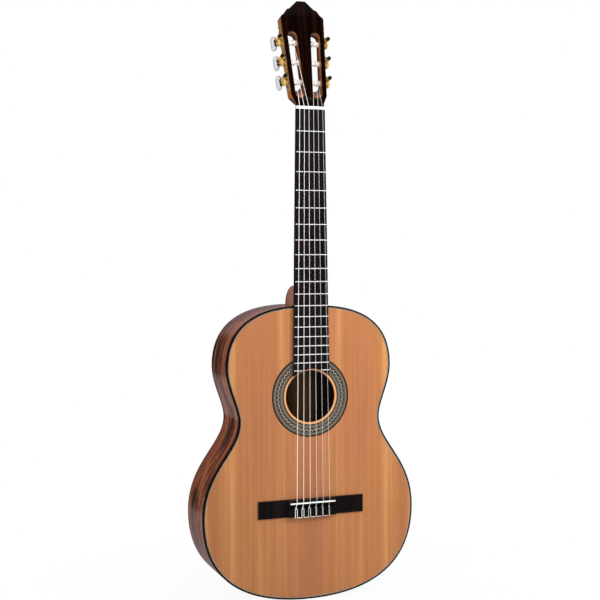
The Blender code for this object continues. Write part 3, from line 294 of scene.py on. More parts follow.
def cedar_look():
    """Quarter-sawn cedar, book-matched about the centre joint, under satin lacquer."""
    look = Look("cedar_top")
    place = look.place()
    x, y, z = look.split(place)
    mirrored = look.math("ABSOLUTE", x)
    grain = look.join(mirrored, y, z)
    bands = look.noise(grain, (62, 1, 1.1), 4, 0.62, 0.15)
    broad = look.noise(grain, (17, 1, 1.6), 2, 0.5, 0.0, (3.1, 0, 0.4))
    rings = look.noise(grain, (420, 1, 2.2), 2, 0.6, 0.0, (0, 2, 0))
    pores = look.noise(place, (1500, 1500, 40), 2, 0.7)
    colour = look.ramp(bands, [(0.28, (0.40, 0.148, 0.049)), (0.46, (0.485, 0.192, 0.062)),
                               (0.60, (0.555, 0.240, 0.084)), (0.75, (0.64, 0.305, 0.112))])
    pink = look.ramp(broad, [(0.38, 0.0), (0.60, 1.0)])
    colour = look.mix(look.math("MULTIPLY", pink, 0.75), colour, (0.440, 0.158, 0.070))
    silk = look.noise(place, (120, 1, 420), 3, 0.6, 0.6)
    colour = look.mottled(colour, silk, 0.95, 1.04)
    streak = look.math("ABSOLUTE", look.math("SUBTRACT", mirrored, CEDAR_STREAK_PLACE))
    streak = look.math("SUBTRACT", 1.0, look.math("DIVIDE", streak, CEDAR_STREAK_WIDTH), clamp=True)
    fade = look.math("MULTIPLY", look.math("SUBTRACT", z, 0.12), 2.2, clamp=True)
    streak = look.math("MULTIPLY", look.math("MULTIPLY", streak, fade), 0.5)
    colour = look.mix(streak, colour, (0.36, 0.135, 0.038))
    colour = look.mottled(colour, rings, 0.86, 1.08)
    colour = look.mottled(colour, pores, 0.95, 1.04)
    # Painted light falloff: brighter towards the top and the treble side, darker towards the bottom.
    tone = look.math("ADD", look.math("MULTIPLY", z, 0.30), look.math("MULTIPLY", x, 0.28))
    colour = look.mix(1.0, colour, look.math("ADD", tone, 0.84), "MULTIPLY")
    radius = look.length(x, look.math("SUBTRACT", z, SOUNDHOLE_Z))
    edge = look.math("LESS_THAN", radius, ROSETTE_INNER_RADIUS + 0.1 * MM)
    inside = look.math("GREATER_THAN", y, FACE_Y + SOUNDBOARD_THICKNESS - 0.2 * MM)
    colour = look.mix(look.math("MULTIPLY", edge, 0.75), colour, (0.80, 0.40, 0.16))
    colour = look.mix(look.math("MULTIPLY", inside, 0.5), colour, (0.42, 0.24, 0.11))
    height = look.math("ADD", look.math("MULTIPLY", rings, 0.6), look.math("MULTIPLY", pores, 0.4))
    return look.shade(colour, 0.42, look.bump(height, 0.00004, 0.6), Specular_IOR_Level=0.3,
                      Coat_Weight=0.2, Coat_Roughness=0.30)


def rosewood_colour(look, vector, along, across, swirl):
    """Red-brown wood with near-black flame streaks that run along a rib or a back."""
    tone = look.noise(vector, (along * 0.6, across * 0.5, 1), 3, 0.55, 0.5, (1.7, 0.3, 0))
    figure = look.noise(vector, (along, across, 1), 3, 0.58, swirl)
    cluster = look.noise(vector, (along * 0.45, across * 0.22, 1), 2, 0.5, 0.4, (5.1, 2.3, 0))
    fine = look.noise(vector, (along * 5, across * 7, 1), 3, 0.6, 0.6)
    colour = look.ramp(tone, [(0.30, (0.225, 0.052, 0.020)), (0.46, (0.340, 0.088, 0.034)),
                              (0.60, (0.450, 0.140, 0.056)), (0.76, (0.560, 0.210, 0.092))])
    streak = look.math("SUBTRACT", look.math("MULTIPLY", cluster, 0.55), figure)
    streak = look.ramp(look.math("ADD", streak, 0.5), [(0.275, 0.0), (0.330, 1.0)])
    colour = look.mix(look.math("MULTIPLY", streak, 0.92), colour, (0.028, 0.0070, 0.004))
    colour = look.mottled(colour, fine, 0.72, 1.15)
    return colour, fine


def rib_look():
    look = Look("rib_rosewood")
    colour, fine = rosewood_colour(look, look.path(), 11, 105, 0.9)
    return look.shade(colour, 0.3, look.bump(fine, 0.00002, 0.3), Specular_IOR_Level=0.5,
                      Coat_Weight=1.0, Coat_Roughness=0.035)


def back_look():
    """Book-matched halves with a dark and light centre line; inside, bare wood with a painted pool of
    light up to just past the centre and painted shade beyond it on the treble side.
    """
    look = Look("back_rosewood")
    x, y, z = look.split(look.place())
    mirrored = look.math("ABSOLUTE", x)
    colour, fine = rosewood_colour(look, look.join(z, mirrored, 0.0), 2.8, 64, 0.45)
    inside = look.math("LESS_THAN", look.math("SUBTRACT", y, look.math("MULTIPLY", z, BACK_SLOPE)),
                       FACE_Y + DEPTH_AT_TAIL - BACK_THICKNESS + BACK_DOME + 0.3 * MM)
    # Inside: painted light, a lit patch up to just past the centre that fades into painted shade towards
    # the treble side.
    scratches = look.noise(look.place(), (6, 1, 520), 3, 0.6)
    lit = look.mix(scratches, (0.100, 0.046, 0.008), (0.230, 0.115, 0.024))
    shade = look.math("MULTIPLY", look.math("SUBTRACT", x, 0.026), 50, clamp=True)
    painted_inside_light = look.mix(shade, lit, (0.007, 0.0035, 0.002))
    colour = look.mix(inside, colour, painted_inside_light)
    outside = look.math("SUBTRACT", 1.0, inside)
    light = look.math("MULTIPLY", look.math("LESS_THAN", mirrored, BACK_LINE_HALF_WIDTHS[0]), outside)
    dark = look.math("MULTIPLY", look.math("LESS_THAN", mirrored, BACK_LINE_HALF_WIDTHS[1]), outside)
    colour = look.mix(light, colour, (0.55, 0.40, 0.22))
    colour = look.mix(dark, colour, (0.02, 0.008, 0.006))
    rough = look.math("ADD", look.math("MULTIPLY", inside, 0.4), 0.3)
    return look.shade(colour, rough, look.bump(fine, 0.00002, 0.3), Specular_IOR_Level=0.5,
                      Coat_Weight=outside, Coat_Roughness=0.04)


def straight_grain(look, tones, pore_dark, pore_light, scale=1.0):
    """Colour and pores of wood whose grain runs up the guitar."""
    bands = look.noise(look.place(), (95 * scale, 95 * scale, 3.0), 4, 0.6, 0.25)
    fine = look.noise(look.place(), (620 * scale, 620 * scale, 14), 3, 0.65)
    colour = look.ramp(bands, list(zip((0.30, 0.50, 0.70), tones)))
    return look.mottled(colour, fine, pore_dark, pore_light), fine


def inner_wood_look(name, tones, scale=1.0):
    """Bare wood inside the body."""
    look = Look(name)
    colour, fine = straight_grain(look, tones, 0.80, 1.12, scale)
    return look.shade(colour, 0.65, look.bump(fine, 0.00004, 0.5))


def neck_look():
    """Orange-brown mahogany, with painted shade deep inside the head's slots, where it is also
    unpolished.
    """
    look = Look("neck_mahogany")
    x, y, z = look.split(look.place())
    tones = ((0.29, 0.072, 0.017), (0.46, 0.140, 0.034), (0.60, 0.205, 0.055))
    colour, fine = straight_grain(look, tones, 0.82, 1.10)
    back = look.math("SUBTRACT", y, FACE_Y - HEAD_FACE_AT_NUT)
    up = look.math("SUBTRACT", z, NUT_Z)
    depth = look.math("SUBTRACT", look.math("MULTIPLY", back, math.cos(HEAD_TILT)),
                      look.math("MULTIPLY", up, math.sin(HEAD_TILT)))
    height = look.math("ADD", look.math("MULTIPLY", back, math.sin(HEAD_TILT)),
                       look.math("MULTIPLY", up, math.cos(HEAD_TILT)))
    # Painted shade: the slot walls darken with depth behind the head's face.
    shade = look.math("DIVIDE", look.math("SUBTRACT", depth, SLOT_SHADE_START), SLOT_SHADE_DEPTH,
                      clamp=True)
    slot = look.math("LESS_THAN", depth, HEAD_THICKNESS - 0.5 * MM)
    slot = look.math("MULTIPLY", slot, look.math("GREATER_THAN", height, SLOT_BOTTOM - 4 * MM))
    inner = look.math("LESS_THAN", look.math("ABSOLUTE", x), SLOT_SHADE_HALF_WIDTH)
    slot = look.math("MULTIPLY", look.math("MULTIPLY", slot, inner), shade)
    colour = look.mix(look.math("MULTIPLY", slot, 0.9), colour, (0.030, 0.0075, 0.003))
    return look.shade(colour, 0.34, look.bump(fine, 0.00004, 0.4), Specular_IOR_Level=0.4,
                      Coat_Weight=look.math("SUBTRACT", 0.45, look.math("MULTIPLY", slot, 0.4)),
                      Coat_Roughness=0.06)


def head_veneer_look():
    """Very dark rosewood with faint red-brown stripes."""
    look = Look("head_rosewood")
    place = look.place()
    stripes = look.noise(place, (120, 1, 1.3), 3, 0.6, 0.1, (4.2, 0, 0))
    fine = look.noise(place, (900, 900, 12), 3, 0.6)
    colour = look.ramp(stripes, [(0.36, (0.0014, 0.0006, 0.0005)), (0.50, (0.0040, 0.0011, 0.0008)),
                                 (0.62, (0.0100, 0.0026, 0.0014)), (0.72, (0.0150, 0.0045, 0.0020))])
    colour = look.mottled(colour, fine, 0.7, 1.2)
    return look.shade(colour, 0.18, look.bump(fine, 0.000008, 0.2), Coat_Weight=0.08,
                      Coat_Roughness=0.04, Specular_IOR_Level=0.08)


def ebony_look(name, base, lift, roughness):
    look = Look(name)
    place = look.place()
    stripes = look.noise(place, (260, 260, 2.5), 3, 0.6)
    pores = look.noise(place, (1800, 1800, 60), 2, 0.7)
    colour = look.ramp(stripes, [(0.35, base), (0.70, lift)])
    red = look.noise(place, (55, 55, 1.2), 2, 0.5, 0.0, (0.9, 0, 0))
    red = look.ramp(red, [(0.50, 0.0), (0.62, 0.7)])
    colour = look.mix(red, colour, (lift[0] * 1.5, lift[1] * 0.8, lift[2] * 0.8))
    colour = look.mottled(colour, pores, 0.75, 1.15, 0.35, 0.65)
    rough = look.math("ADD", look.math("MULTIPLY", stripes, 0.12), roughness - 0.06)
    return look.shade(colour, rough, look.bump(pores, 0.00004, 0.5), Specular_IOR_Level=0.32)


def gloss_black_look():
    look = Look("black_binding")
    smudge = look.noise(look.place(), (60, 60, 60), 3, 0.6)
    colour = look.ramp(smudge, [(0.3, (0.0022, 0.0020, 0.0020)), (0.7, (0.0045, 0.0040, 0.0040))])
    rough = look.math("ADD", look.math("MULTIPLY", smudge, 0.08), 0.22)
    return look.shade(colour, rough, Specular_IOR_Level=0.12)


def purfling_look(name, first, second):
    """A thin veneer line with faint slanting joints."""
    look = Look(name)
    along, across = look.split(look.path())[:2]
    slant = look.math("ADD", along, across)
    step = look.math("FRACT", look.math("MULTIPLY", slant, 420))
    colour = look.mix(look.math("LESS_THAN", step, 0.5), first, second)
    return look.shade(colour, 0.38, Coat_Weight=0.2, Coat_Roughness=0.3)


def rosette_look():
    """Concentric veneer lines round a zigzag band."""
    look = Look("rosette_inlay")
    x, z = look.split(look.place())[::2]
    up = look.math("SUBTRACT", z, SOUNDHOLE_Z)
    radius = look.length(x, up)
    share = look.math("DIVIDE", look.math("SUBTRACT", radius, ROSETTE_INNER_RADIUS),
                      ROSETTE_OUTER_RADIUS - ROSETTE_INNER_RADIUS)
    black, dark = (0.006, 0.0055, 0.005), (0.030, 0.028, 0.024)
    grey, pale = (0.120, 0.098, 0.076), (0.215, 0.180, 0.138)
    rings = [(0.0, dark), (0.055, black), (0.085, grey), (0.130, dark), (0.155, pale), (0.235, dark),
             (0.262, grey), (0.335, black), (0.362, pale), (0.378, black),
             (0.600, black), (0.612, pale), (0.628, black), (0.655, grey), (0.720, dark),
             (0.745, pale), (0.820, dark), (0.845, grey), (0.885, black)]
    colour = look.ramp(share, rings, "CONSTANT")
    speck = look.noise(look.place(), (700, 700, 700), 3, 0.7)
    colour = look.mottled(colour, speck, 0.7, 1.3)
    angle = look.math("ARCTAN2", up, x)
    wave = look.math("PINGPONG", look.math("MULTIPLY", angle, 52 / math.tau), 0.5)
    middle = look.math("ADD", look.math("MULTIPLY", wave, 0.24), 0.428)
    away = look.math("ABSOLUTE", look.math("SUBTRACT", share, middle))
    line = look.math("LESS_THAN", away, 0.034)
    dash = look.math("FRACT", look.math("MULTIPLY", angle, 104 / math.tau))
    tone = look.mix(look.math("LESS_THAN", dash, 0.5), (0.60, 0.54, 0.41), (0.26, 0.23, 0.17))
    band = look.math("MULTIPLY", look.math("GREATER_THAN", share, 0.385),
                     look.math("LESS_THAN", share, 0.595))
    colour = look.mix(look.math("MULTIPLY", line, band), colour, tone)
    return look.shade(colour, 0.40, Coat_Weight=0.25, Coat_Roughness=0.28)


def bone_look(name, colour_a, colour_b, roughness=0.38):
    look = Look(name)
    place = look.place()
    cloud = look.noise(place, (180, 180, 60), 3, 0.6)
    grain = look.noise(place, (1600, 1600, 300), 2, 0.7)
    colour = look.ramp(cloud, [(0.3, colour_a), (0.7, colour_b)])
    return look.shade(colour, roughness, look.bump(grain, 0.00002, 0.4), Subsurface_Weight=0.12,
                      Subsurface_Radius=(0.0012, 0.0009, 0.0006), Subsurface_Scale=1.0)


def metal_look(name, colour_a, colour_b, roughness, metallic=0.75, scale=420):
    look = Look(name)
    place = look.place()
    cloud = look.noise(place, (90, 90, 90), 3, 0.6)
    scratch = look.noise(place, (scale * 4, scale * 4, scale * 0.4), 2, 0.7)
    colour = look.ramp(cloud, [(0.3, colour_a), (0.7, colour_b)])
    rough = look.math("ADD", look.math("MULTIPLY", scratch, 0.16), roughness - 0.08)
    return look.shade(colour, rough, look.bump(scratch, 0.000015, 0.4), Metallic=metallic)


def engraved_brass_look():
    """Gilt plate with an engraved scroll ground."""
    look = Look("engraved_gilt_brass")
    place = look.place()
    cells = look.add("TexVoronoi", {"Vector": look.scaled(place, (330, 330, 330)), "Scale": 1.0},
                     feature="DISTANCE_TO_EDGE")
    cloud = look.noise(place, (90, 90, 90), 3, 0.6)
    groove = look.ramp(cells, [(0.03, 0.0), (0.17, 1.0)])
    colour = look.ramp(cloud, [(0.3, (0.80, 0.47, 0.11)), (0.7, (1.00, 0.72, 0.28))])
    colour = look.mix(look.math("SUBTRACT", 1.0, groove), colour, (0.060, 0.026, 0.006))
    return look.shade(colour, 0.28, look.bump(groove, 0.00025, 0.8), Metallic=0.4)


def pearl_look():
    """Pearloid plastic: milky clouds with a cool sheen."""
    look = Look("pearloid")
    place = look.place()
    flow = look.noise(place, (130, 130, 90), 4, 0.55, 2.4)
    flake = look.noise(place, (420, 420, 260), 2, 0.6, 1.2)
    colour = look.ramp(flow, [(0.30, (0.66, 0.68, 0.80)), (0.46, (0.84, 0.85, 0.95)),
                              (0.58, (0.95, 0.94, 0.97)), (0.72, (0.78, 0.79, 0.90))])
    colour = look.mottled(colour, flake, 0.93, 1.04)
    return look.shade(colour, 0.16, look.bump(flow, 0.00008, 0.3), Subsurface_Weight=0.2,
                      Subsurface_Radius=(0.002, 0.002, 0.002), Subsurface_Scale=1.0,
                      Coat_Weight=0.8, Coat_Roughness=0.05, Sheen_Weight=0.1)


def wound_look():
    """Silver-plated winding on a bass string."""
    look = Look("wound_string")
    along = look.split(look.path())[0]
    # Painted shade of the winding: each turn paler on its crest and darker between turns.
    turn = look.math("SINE", look.math("MULTIPLY", along, math.tau / WINDING_PITCH))
    colour = look.ramp(look.math("ADD", look.math("MULTIPLY", turn, 0.5), 0.5),
                       [(0.0, (0.92, 0.90, 0.87)), (1.0, (1.0, 1.0, 0.98))])
    return look.shade(colour, 0.30, look.bump(turn, 0.00005, 0.3), Metallic=0.12)


def nylon_look():
    """Clear monofilament: milky and slightly see-through."""
    look = Look("nylon_string")
    along, around = look.split(look.path())[:2]
    cloud = look.noise(look.join(along, around, 0.0), (300, 1, 1), 2, 0.5)
    colour = look.ramp(cloud, [(0.3, (0.80, 0.80, 0.81)), (0.7, (0.90, 0.90, 0.91))])
    return look.shade(colour, 0.10, Alpha=0.45, Specular_IOR_Level=0.6)


LOOKS = {
    "cedar_top": cedar_look(),
    "rib_rosewood": rib_look(),
    "back_rosewood": back_look(),
    "neck_mahogany": neck_look(),
    "block_mahogany": inner_wood_look("block_mahogany", ((0.16, 0.06, 0.03), (0.27, 0.11, 0.05),
                                                         (0.36, 0.16, 0.08))),
    "brace_spruce": inner_wood_look("brace_spruce", ((0.50, 0.34, 0.18), (0.62, 0.45, 0.26),
                                                     (0.72, 0.55, 0.34)), 0.6),
    "inner_strip": inner_wood_look("inner_strip", ((0.085, 0.040, 0.008), (0.160, 0.078, 0.015),
                                                   (0.230, 0.115, 0.024)), 0.6),
    "ebony_board": ebony_look("ebony_board", (0.0040, 0.0032, 0.0040), (0.0100, 0.0080, 0.0096), 0.36),
    "ebony_bridge": ebony_look("ebony_bridge", (0.0030, 0.0024, 0.0028), (0.0080, 0.0064, 0.0072),
                               0.40),
    "head_rosewood": head_veneer_look(),
    "black_binding": gloss_black_look(),
    "light_purfling": purfling_look("light_purfling", (0.38, 0.30, 0.22), (0.26, 0.205, 0.155)),
    "dark_purfling": purfling_look("dark_purfling", (0.016, 0.012, 0.010), (0.036, 0.028, 0.022)),
    "rosette_inlay": rosette_look(),
    "bone": bone_look("bone", (0.92, 0.92, 0.90), (0.97, 0.97, 0.96)),
    "roller_plastic": bone_look("roller_plastic", (0.70, 0.66, 0.58), (0.80, 0.77, 0.70), 0.30),
    "gilt_brass": metal_look("gilt_brass", (0.86, 0.52, 0.13), (1.00, 0.74, 0.30), 0.26, 0.35),
    "engraved_brass": engraved_brass_look(),
    "nickel_silver": metal_look("nickel_silver", (0.93, 0.93, 0.92), (1.0, 1.0, 1.0), 0.26, 0.2, 160),
    "black_steel": metal_look("black_steel", (0.010, 0.010, 0.011), (0.022, 0.022, 0.024), 0.30),
    "pearloid": pearl_look(),
    "wound_string": wound_look(),
    "nylon": nylon_look(),
}


# --- mesh helpers -----------------------------------------------------------------------------
def skin(bm, rings):
    """Quads between closed rings of points that follow each other."""
    return [bm.faces.new((low[i - 1], low[i], high[i], high[i - 1]))
            for low, high in zip(rings, rings[1:]) for i in range(len(low))]


def fan(bm, ring, place):
    """Triangles from a closed ring of points to one tip."""
    tip = bm.verts.new(place)
    for i in range(len(ring)):
        bm.faces.new((ring[i - 1], ring[i], tip))
    return tip


def fill(bm, loops):
    """A flat face inside the first loop of points and outside the others."""
    edges = [bm.edges.get((loop[i - 1], loop[i])) for loop in loops for i in range(len(loop))]
    bmesh.ops.triangle_fill(bm, use_beauty=True, use_dissolve=False, edges=edges)


def finished_mesh(bm, merge=True):
    if merge:
        bmesh.ops.remove_doubles(bm, verts=bm.verts, dist=1e-7)
    bmesh.ops.recalc_face_normals(bm, faces=bm.faces)
    mesh = bpy.data.meshes.new("mesh")
    bm.to_mesh(mesh)
    bm.free()
    return mesh


def add_piece(name, mesh, look, matrix=BODY, body="guitar", stands_for=(), smooth=34):
    """Put a mesh in the scene as one visible piece of the guitar, riding on a CAD body."""
    mesh.transform(matrix)
    mesh.name = name
    if not mesh.materials:
        for one in ([look] if isinstance(look, str) else look):
            mesh.materials.append(LOOKS[one])
    mesh.shade_smooth()
    mesh.set_sharp_from_angle(angle=math.radians(smooth))
    piece = bpy.data.objects.new(name, mesh)
    bpy.context.scene.collection.objects.link(piece)
    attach(piece, body)
    if stands_for:
        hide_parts(*stands_for)
    return piece


def boolean(mesh, others, operation="DIFFERENCE", solver="EXACT"):
    """A mesh cut by, or joined to, other meshes."""
    collection = bpy.context.scene.collection
    holder = bpy.data.objects.new("holder", mesh)
    collection.objects.link(holder)
    tools = []
    for other in others:
        tool = bpy.data.objects.new("tool", other)
        collection.objects.link(tool)
        tools.append(tool)
        modifier = holder.modifiers.new("cut", "BOOLEAN")
        modifier.operation = operation
        modifier.object = tool
        modifier.solver = solver
    bpy.context.view_layer.update()
    evaluated = holder.evaluated_get(bpy.context.evaluated_depsgraph_get())
    result = bpy.data.meshes.new_from_object(evaluated)
    for thing in tools + [holder]:
        bpy.data.objects.remove(thing, do_unlink=True)
    result.materials.clear()
    return result


def signed_area(loop):
    return sum(a[0] * b[1] - b[0] * a[1] for a, b in zip(loop, loop[1:] + loop[:1])) / 2


def offset_loop(loop, distance):
    """Move a closed loop to its left by a distance, with mitred corners."""
    if distance == 0:
        return list(loop)
    moved = []
    for before, here, after in zip(loop[-1:] + loop[:-1], loop, loop[1:] + loop[:1]):
        first = Vector((here[0] - before[0], here[1] - before[1])).normalized()
        second = Vector((after[0] - here[0], after[1] - here[1])).normalized()
        normal = Vector((-first.y - second.y, first.x + second.x)).normalized()
        stretch = max(normal.dot(Vector((-first.y, first.x))), 0.4)
        moved.append((here[0] + normal.x * distance / stretch,
                      here[1] + normal.y * distance / stretch))
    return moved


def plate(loops, levels):
    """A closed plate in XZ: an outer outline and holes, at levels of (y, how far the edge draws in)."""
    turned = []
    for index, loop in enumerate(loops):
        anticlockwise = signed_area(loop) > 0
        turned.append(loop if anticlockwise == (index == 0) else loop[::-1])
    bm = bmesh.new()
    rings = []
    for y, inset in levels:
        rings.append([[bm.verts.new((x, y, z)) for x, z in offset_loop(loop, inset)]
                      for loop in turned])
    for low, high in zip(rings, rings[1:]):
        for pair in zip(low, high):
            skin(bm, pair)
    fill(bm, rings[0])
    fill(bm, rings[-1])
    return finished_mesh(bm)


def rounded_levels(near, far, radius, both=True):
    """Levels of a plate from y near to y far, its far edge and perhaps its near edge rounded."""
    steps = 4
    direction = 1 if far > near else -1
    start, end = [], []
    for step in range(steps + 1):
        angle = math.pi / 2 * step / steps
        end.append((far - direction * radius * (1 - math.sin(angle)),
                    radius * (1 - math.cos(angle))))
        start.append((near + direction * radius * (1 - math.sin(angle)),
                      radius * (1 - math.cos(angle))))
    return (start[::-1] if both else [(near, 0.0)]) + end


def oval(x_radius, z_radius, x, z, count):
    angles = [math.tau * i / count for i in range(count)]
    return [(x + x_radius * math.cos(a), z + z_radius * math.sin(a)) for a in angles]


def circle(radius, x, z, count):
    return oval(radius, radius, x, z, count)


def both_halves(right):
    """A closed loop from its treble half, given from one end to the other."""
    return right + [(-x, z) for x, z in right[::-1]]


def round_corners(loop, radius, steps=5):
    """Replace each corner of a closed loop by a small curve."""
    result = []
    for before, here, after in zip(loop[-1:] + loop[:-1], loop, loop[1:] + loop[:1]):
        a, b, c = Vector(before), Vector(here), Vector(after)
        reach_a = min(radius, (a - b).length * 0.45)
        reach_c = min(radius, (c - b).length * 0.45)
        start = b + (a - b).normalized() * reach_a
        end = b + (c - b).normalized() * reach_c
        for step in range(steps + 1):
            t = step / steps
            point = start * (1 - t) ** 2 + b * 2 * t * (1 - t) + end * t * t
            result.append((point.x, point.y))
    return result


def rectangle(x0, x1, z0, z1, radius=0.0):
    loop = [(x0, z0), (x1, z0), (x1, z1), (x0, z1)]
    return round_corners(loop, radius) if radius else loop


def lathe(profile, axis, steps, closed=False):
    """A turned solid about a local axis; profile is (distance along the axis, radius)."""
    bm = bmesh.new()
    points = [bm.verts.new((radius, 0, along)) for along, radius in profile]
    edges = [bm.edges.new(pair) for pair in zip(points, points[1:])]
    if closed:
        edges.append(bm.edges.new((points[-1], points[0])))
    bmesh.ops.spin(bm, geom=points + edges, axis=(0, 0, 1), cent=(0, 0, 0), angle=math.tau,
                   steps=steps, use_merge=True)
    turn = {"X": Matrix.Rotation(math.radians(90), 4, "Y"),
            "Y": Matrix.Rotation(math.radians(-90), 4, "X"),
            "Z": Matrix.Identity(4)}[axis]
    bmesh.ops.transform(bm, matrix=turn, verts=bm.verts)
    return finished_mesh(bm)


def rod(start, end, radius, axis, steps):
    return lathe([(start, 0.0), (start, radius), (end, radius), (end, 0.0)], axis, steps)


def arc(along, radius, start, end, steps):
    """Profile points on a ball's outline; angles in degrees from the axis direction."""
    angles = [math.radians(start + (end - start) * i / steps) for i in range(steps + 1)]
    return [(along + radius * math.cos(a), max(radius * math.sin(a), 0.0)) for a in angles]


def smooth_path(points, per_span):
    """A Catmull-Rom curve through the points."""
    points = [Vector(p) for p in points]
    padded = [points[0] * 2 - points[1]] + points + [points[-1] * 2 - points[-2]]
    result = []
    for p0, p1, p2, p3 in zip(padded, padded[1:], padded[2:], padded[3:]):
        for step in range(per_span):
            t = step / per_span
            result.append(0.5 * (2 * p1 + (p2 - p0) * t + (2 * p0 - 5 * p1 + 4 * p2 - p3) * t * t
                                 + (3 * p1 - p0 - 3 * p2 + p3) * t ** 3))
    result.append(points[-1])
    return result


def tube(path, radius, sides=10):
    """A round rod along a path, rounded off at both ends, with the distance along it stored."""
    path = [Vector(p) for p in path]
    bm = bmesh.new()
    layer = bm.verts.layers.float_vector.new("path")
    rings = []
    travelled = 0.0
    tangent = (path[1] - path[0]).normalized()
    across = tangent.orthogonal().normalized()
    for index, point in enumerate(path):
        if index:
            travelled += (point - path[index - 1]).length
        ahead = path[min(index + 1, len(path) - 1)] - path[max(index - 1, 0)]
        ahead = ahead.normalized() if ahead.length > 0 else tangent
        across = (across - ahead * across.dot(ahead)).normalized()
        up = ahead.cross(across)
        ring = []
        for side in range(sides):
            angle = math.tau * side / sides
            place = point + (across * math.cos(angle) + up * math.sin(angle)) * radius
            vertex = bm.verts.new(place)
            vertex[layer] = (travelled, angle * radius, 0)
            ring.append(vertex)
        rings.append(ring)
        tangent = ahead
    skin(bm, rings)
    for ring, end, inner in ((rings[0], path[0], path[1]), (rings[-1], path[-1], path[-2])):
        tip = fan(bm, ring, end + (end - inner).normalized() * radius * 0.6)
        tip[layer] = ring[0][layer]
    return finished_mesh(bm, merge=False)


def joined(*groups):
    """Separate solids as one mesh; each group's faces get the material of that number."""
    bm = bmesh.new()
    for number, meshes in enumerate(groups):
        for mesh in meshes:
            done = len(bm.faces)
            bm.from_mesh(mesh)
            bm.faces.ensure_lookup_table()
            for index in range(done, len(bm.faces)):
                bm.faces[index].material_index = number
    return finished_mesh(bm)


# --- the body's outline -----------------------------------------------------------------------
def bezier(p0, p1, p2, p3, t):
    s = 1 - t
    return p0 * s ** 3 + p1 * 3 * s * s * t + p2 * 3 * s * t * t + p3 * t ** 3


def outline_curves():
    """Control points of the four curves from the tail to the neck on the treble side."""
    tail, neck = Vector((0, 0)), Vector((0, BODY_LENGTH))
    lower, waist, upper = Vector(LOWER_BOUT), Vector(WAIST), Vector(UPPER_BOUT)
    up, out = Vector((0, MM)), Vector((MM, 0))
    return [(tail, tail + Vector((TAIL_HANDLE, 0)), lower - up * 97.8, lower),
            (lower, lower + up * 81.3, waist - up * 47.3, waist),
            (waist, waist + up * 23.3, upper - up * 32.7, upper),
            (upper, upper + up * 106.0, neck + out * 30.0, neck)]


def outline_stations():
    """Places on the half outline: point, direction towards the inside, distance from the tail."""
    stations = []
    travelled = 0.0
    for index, curve in enumerate(outline_curves()):
        places = [step / OUTLINE_STEPS for step in range(OUTLINE_STEPS + (index == 3))]
        if index == 0:
            places.insert(1, GRAFT_HALF_WIDTH / (3 * TAIL_HANDLE))
            places.sort()
        for t in places:
            here = bezier(*curve, t)
            ahead = bezier(*curve, min(t + 1e-3, 1.0)) - bezier(*curve, max(t - 1e-3, 0.0))
            inward = Vector((-ahead.y, ahead.x)).normalized()
            if stations:
                travelled += (here - stations[-1][0]).length
            stations.append((here, inward, travelled))
    stations[0] = (stations[0][0], Vector((0, 1)), 0.0)
    stations[-1] = (stations[-1][0], Vector((0, -1)), travelled)
    return stations


STATIONS = outline_stations()


def half_outline(inset):
    return [here + inward * inset for here, inward, travelled in STATIONS]


def full_outline(inset):
    """The whole outline as a closed loop, exactly on the centreline at both ends."""
    right = [(p.x, p.y) for p in half_outline(inset)]
    right[0] = (0.0, right[0][1])
    right[-1] = (0.0, right[-1][1])
    return right + [(-x, z) for x, z in right[-2:0:-1]]


def back_face(z):
    """Depth of the flat back's outer face at height z."""
    return DEPTH_AT_TAIL + BACK_SLOPE * z


def sweep(sections, side=None):
    """Strips that follow the body's outline.

    Each section is (points, material number); a point is (inset, depth), and its depth is a number or
    a function of z. Without a side the strip goes right round; with one it covers that half only, from
    the end graft's edge, and the bass half's figure is moved along so that the two differ.
    """
    last = len(STATIONS) - 1
    if side is None:
        stops = [(1, index) for index in range(last + 1)]
        stops += [(-1, index) for index in range(last - 1, 0, -1)]
    else:
        stops = [(side, index) for index in range(1, last + 1)]
    bm = bmesh.new()
    layer = bm.verts.layers.float_vector.new("path")
    for points, material_number in sections:
        rings = []
        for sign, index in stops:
            here, inward, travelled = STATIONS[index]
            ring = []
            for inset, depth in points:
                place = here + inward * inset
                x = 0.0 if index in (0, last) else place.x * sign
                y = depth(place.y) if callable(depth) else depth
                vertex = bm.verts.new((x, y, place.y))
                vertex[layer] = (travelled + (BASS_FIGURE_SHIFT if side == -1 else 0.0), y, inset)
                ring.append(vertex)
            rings.append(ring)
        if side is None:
            faces = skin(bm, rings + rings[:1])
        else:
            faces = skin(bm, rings) + [bm.faces.new(rings[0]), bm.faces.new(rings[-1])]
        for face in faces:
            face.material_index = material_number
    return finished_mesh(bm, merge=False)


# --- body pieces ------------------------------------------------------------------------------
def make_soundboard():
    """The board with a rounded soundhole edge and a groove for the rosette."""
    count = 128
    bm = bmesh.new()
    profile = [(ROSETTE_OUTER_RADIUS, 0.0), (ROSETTE_OUTER_RADIUS, ROSETTE_THICKNESS),
               (ROSETTE_INNER_RADIUS, ROSETTE_THICKNESS), (ROSETTE_INNER_RADIUS, 0.0),
               (SOUNDHOLE_RADIUS + 0.9 * MM, 0.0), (SOUNDHOLE_RADIUS + 0.45 * MM, 0.1 * MM),
               (SOUNDHOLE_RADIUS + 0.12 * MM, 0.45 * MM), (SOUNDHOLE_RADIUS, 0.9 * MM),
               (SOUNDHOLE_RADIUS, SOUNDBOARD_THICKNESS)]
    rings = [[bm.verts.new((x, y, z)) for x, z in circle(radius, 0, SOUNDHOLE_Z, count)]
             for radius, y in profile]
    outline = full_outline(PURFLING_INSET)
    rims = [[bm.verts.new((x, y, z)) for x, z in outline] for y in (0.0, SOUNDBOARD_THICKNESS)]
    skin(bm, rings)
    skin(bm, rims)
    fill(bm, (rims[0], rings[0]))
    fill(bm, (rims[1], rings[-1]))
    add_piece("soundboard_cedar", finished_mesh(bm), "cedar_top",
              stands_for=["soundboard"])


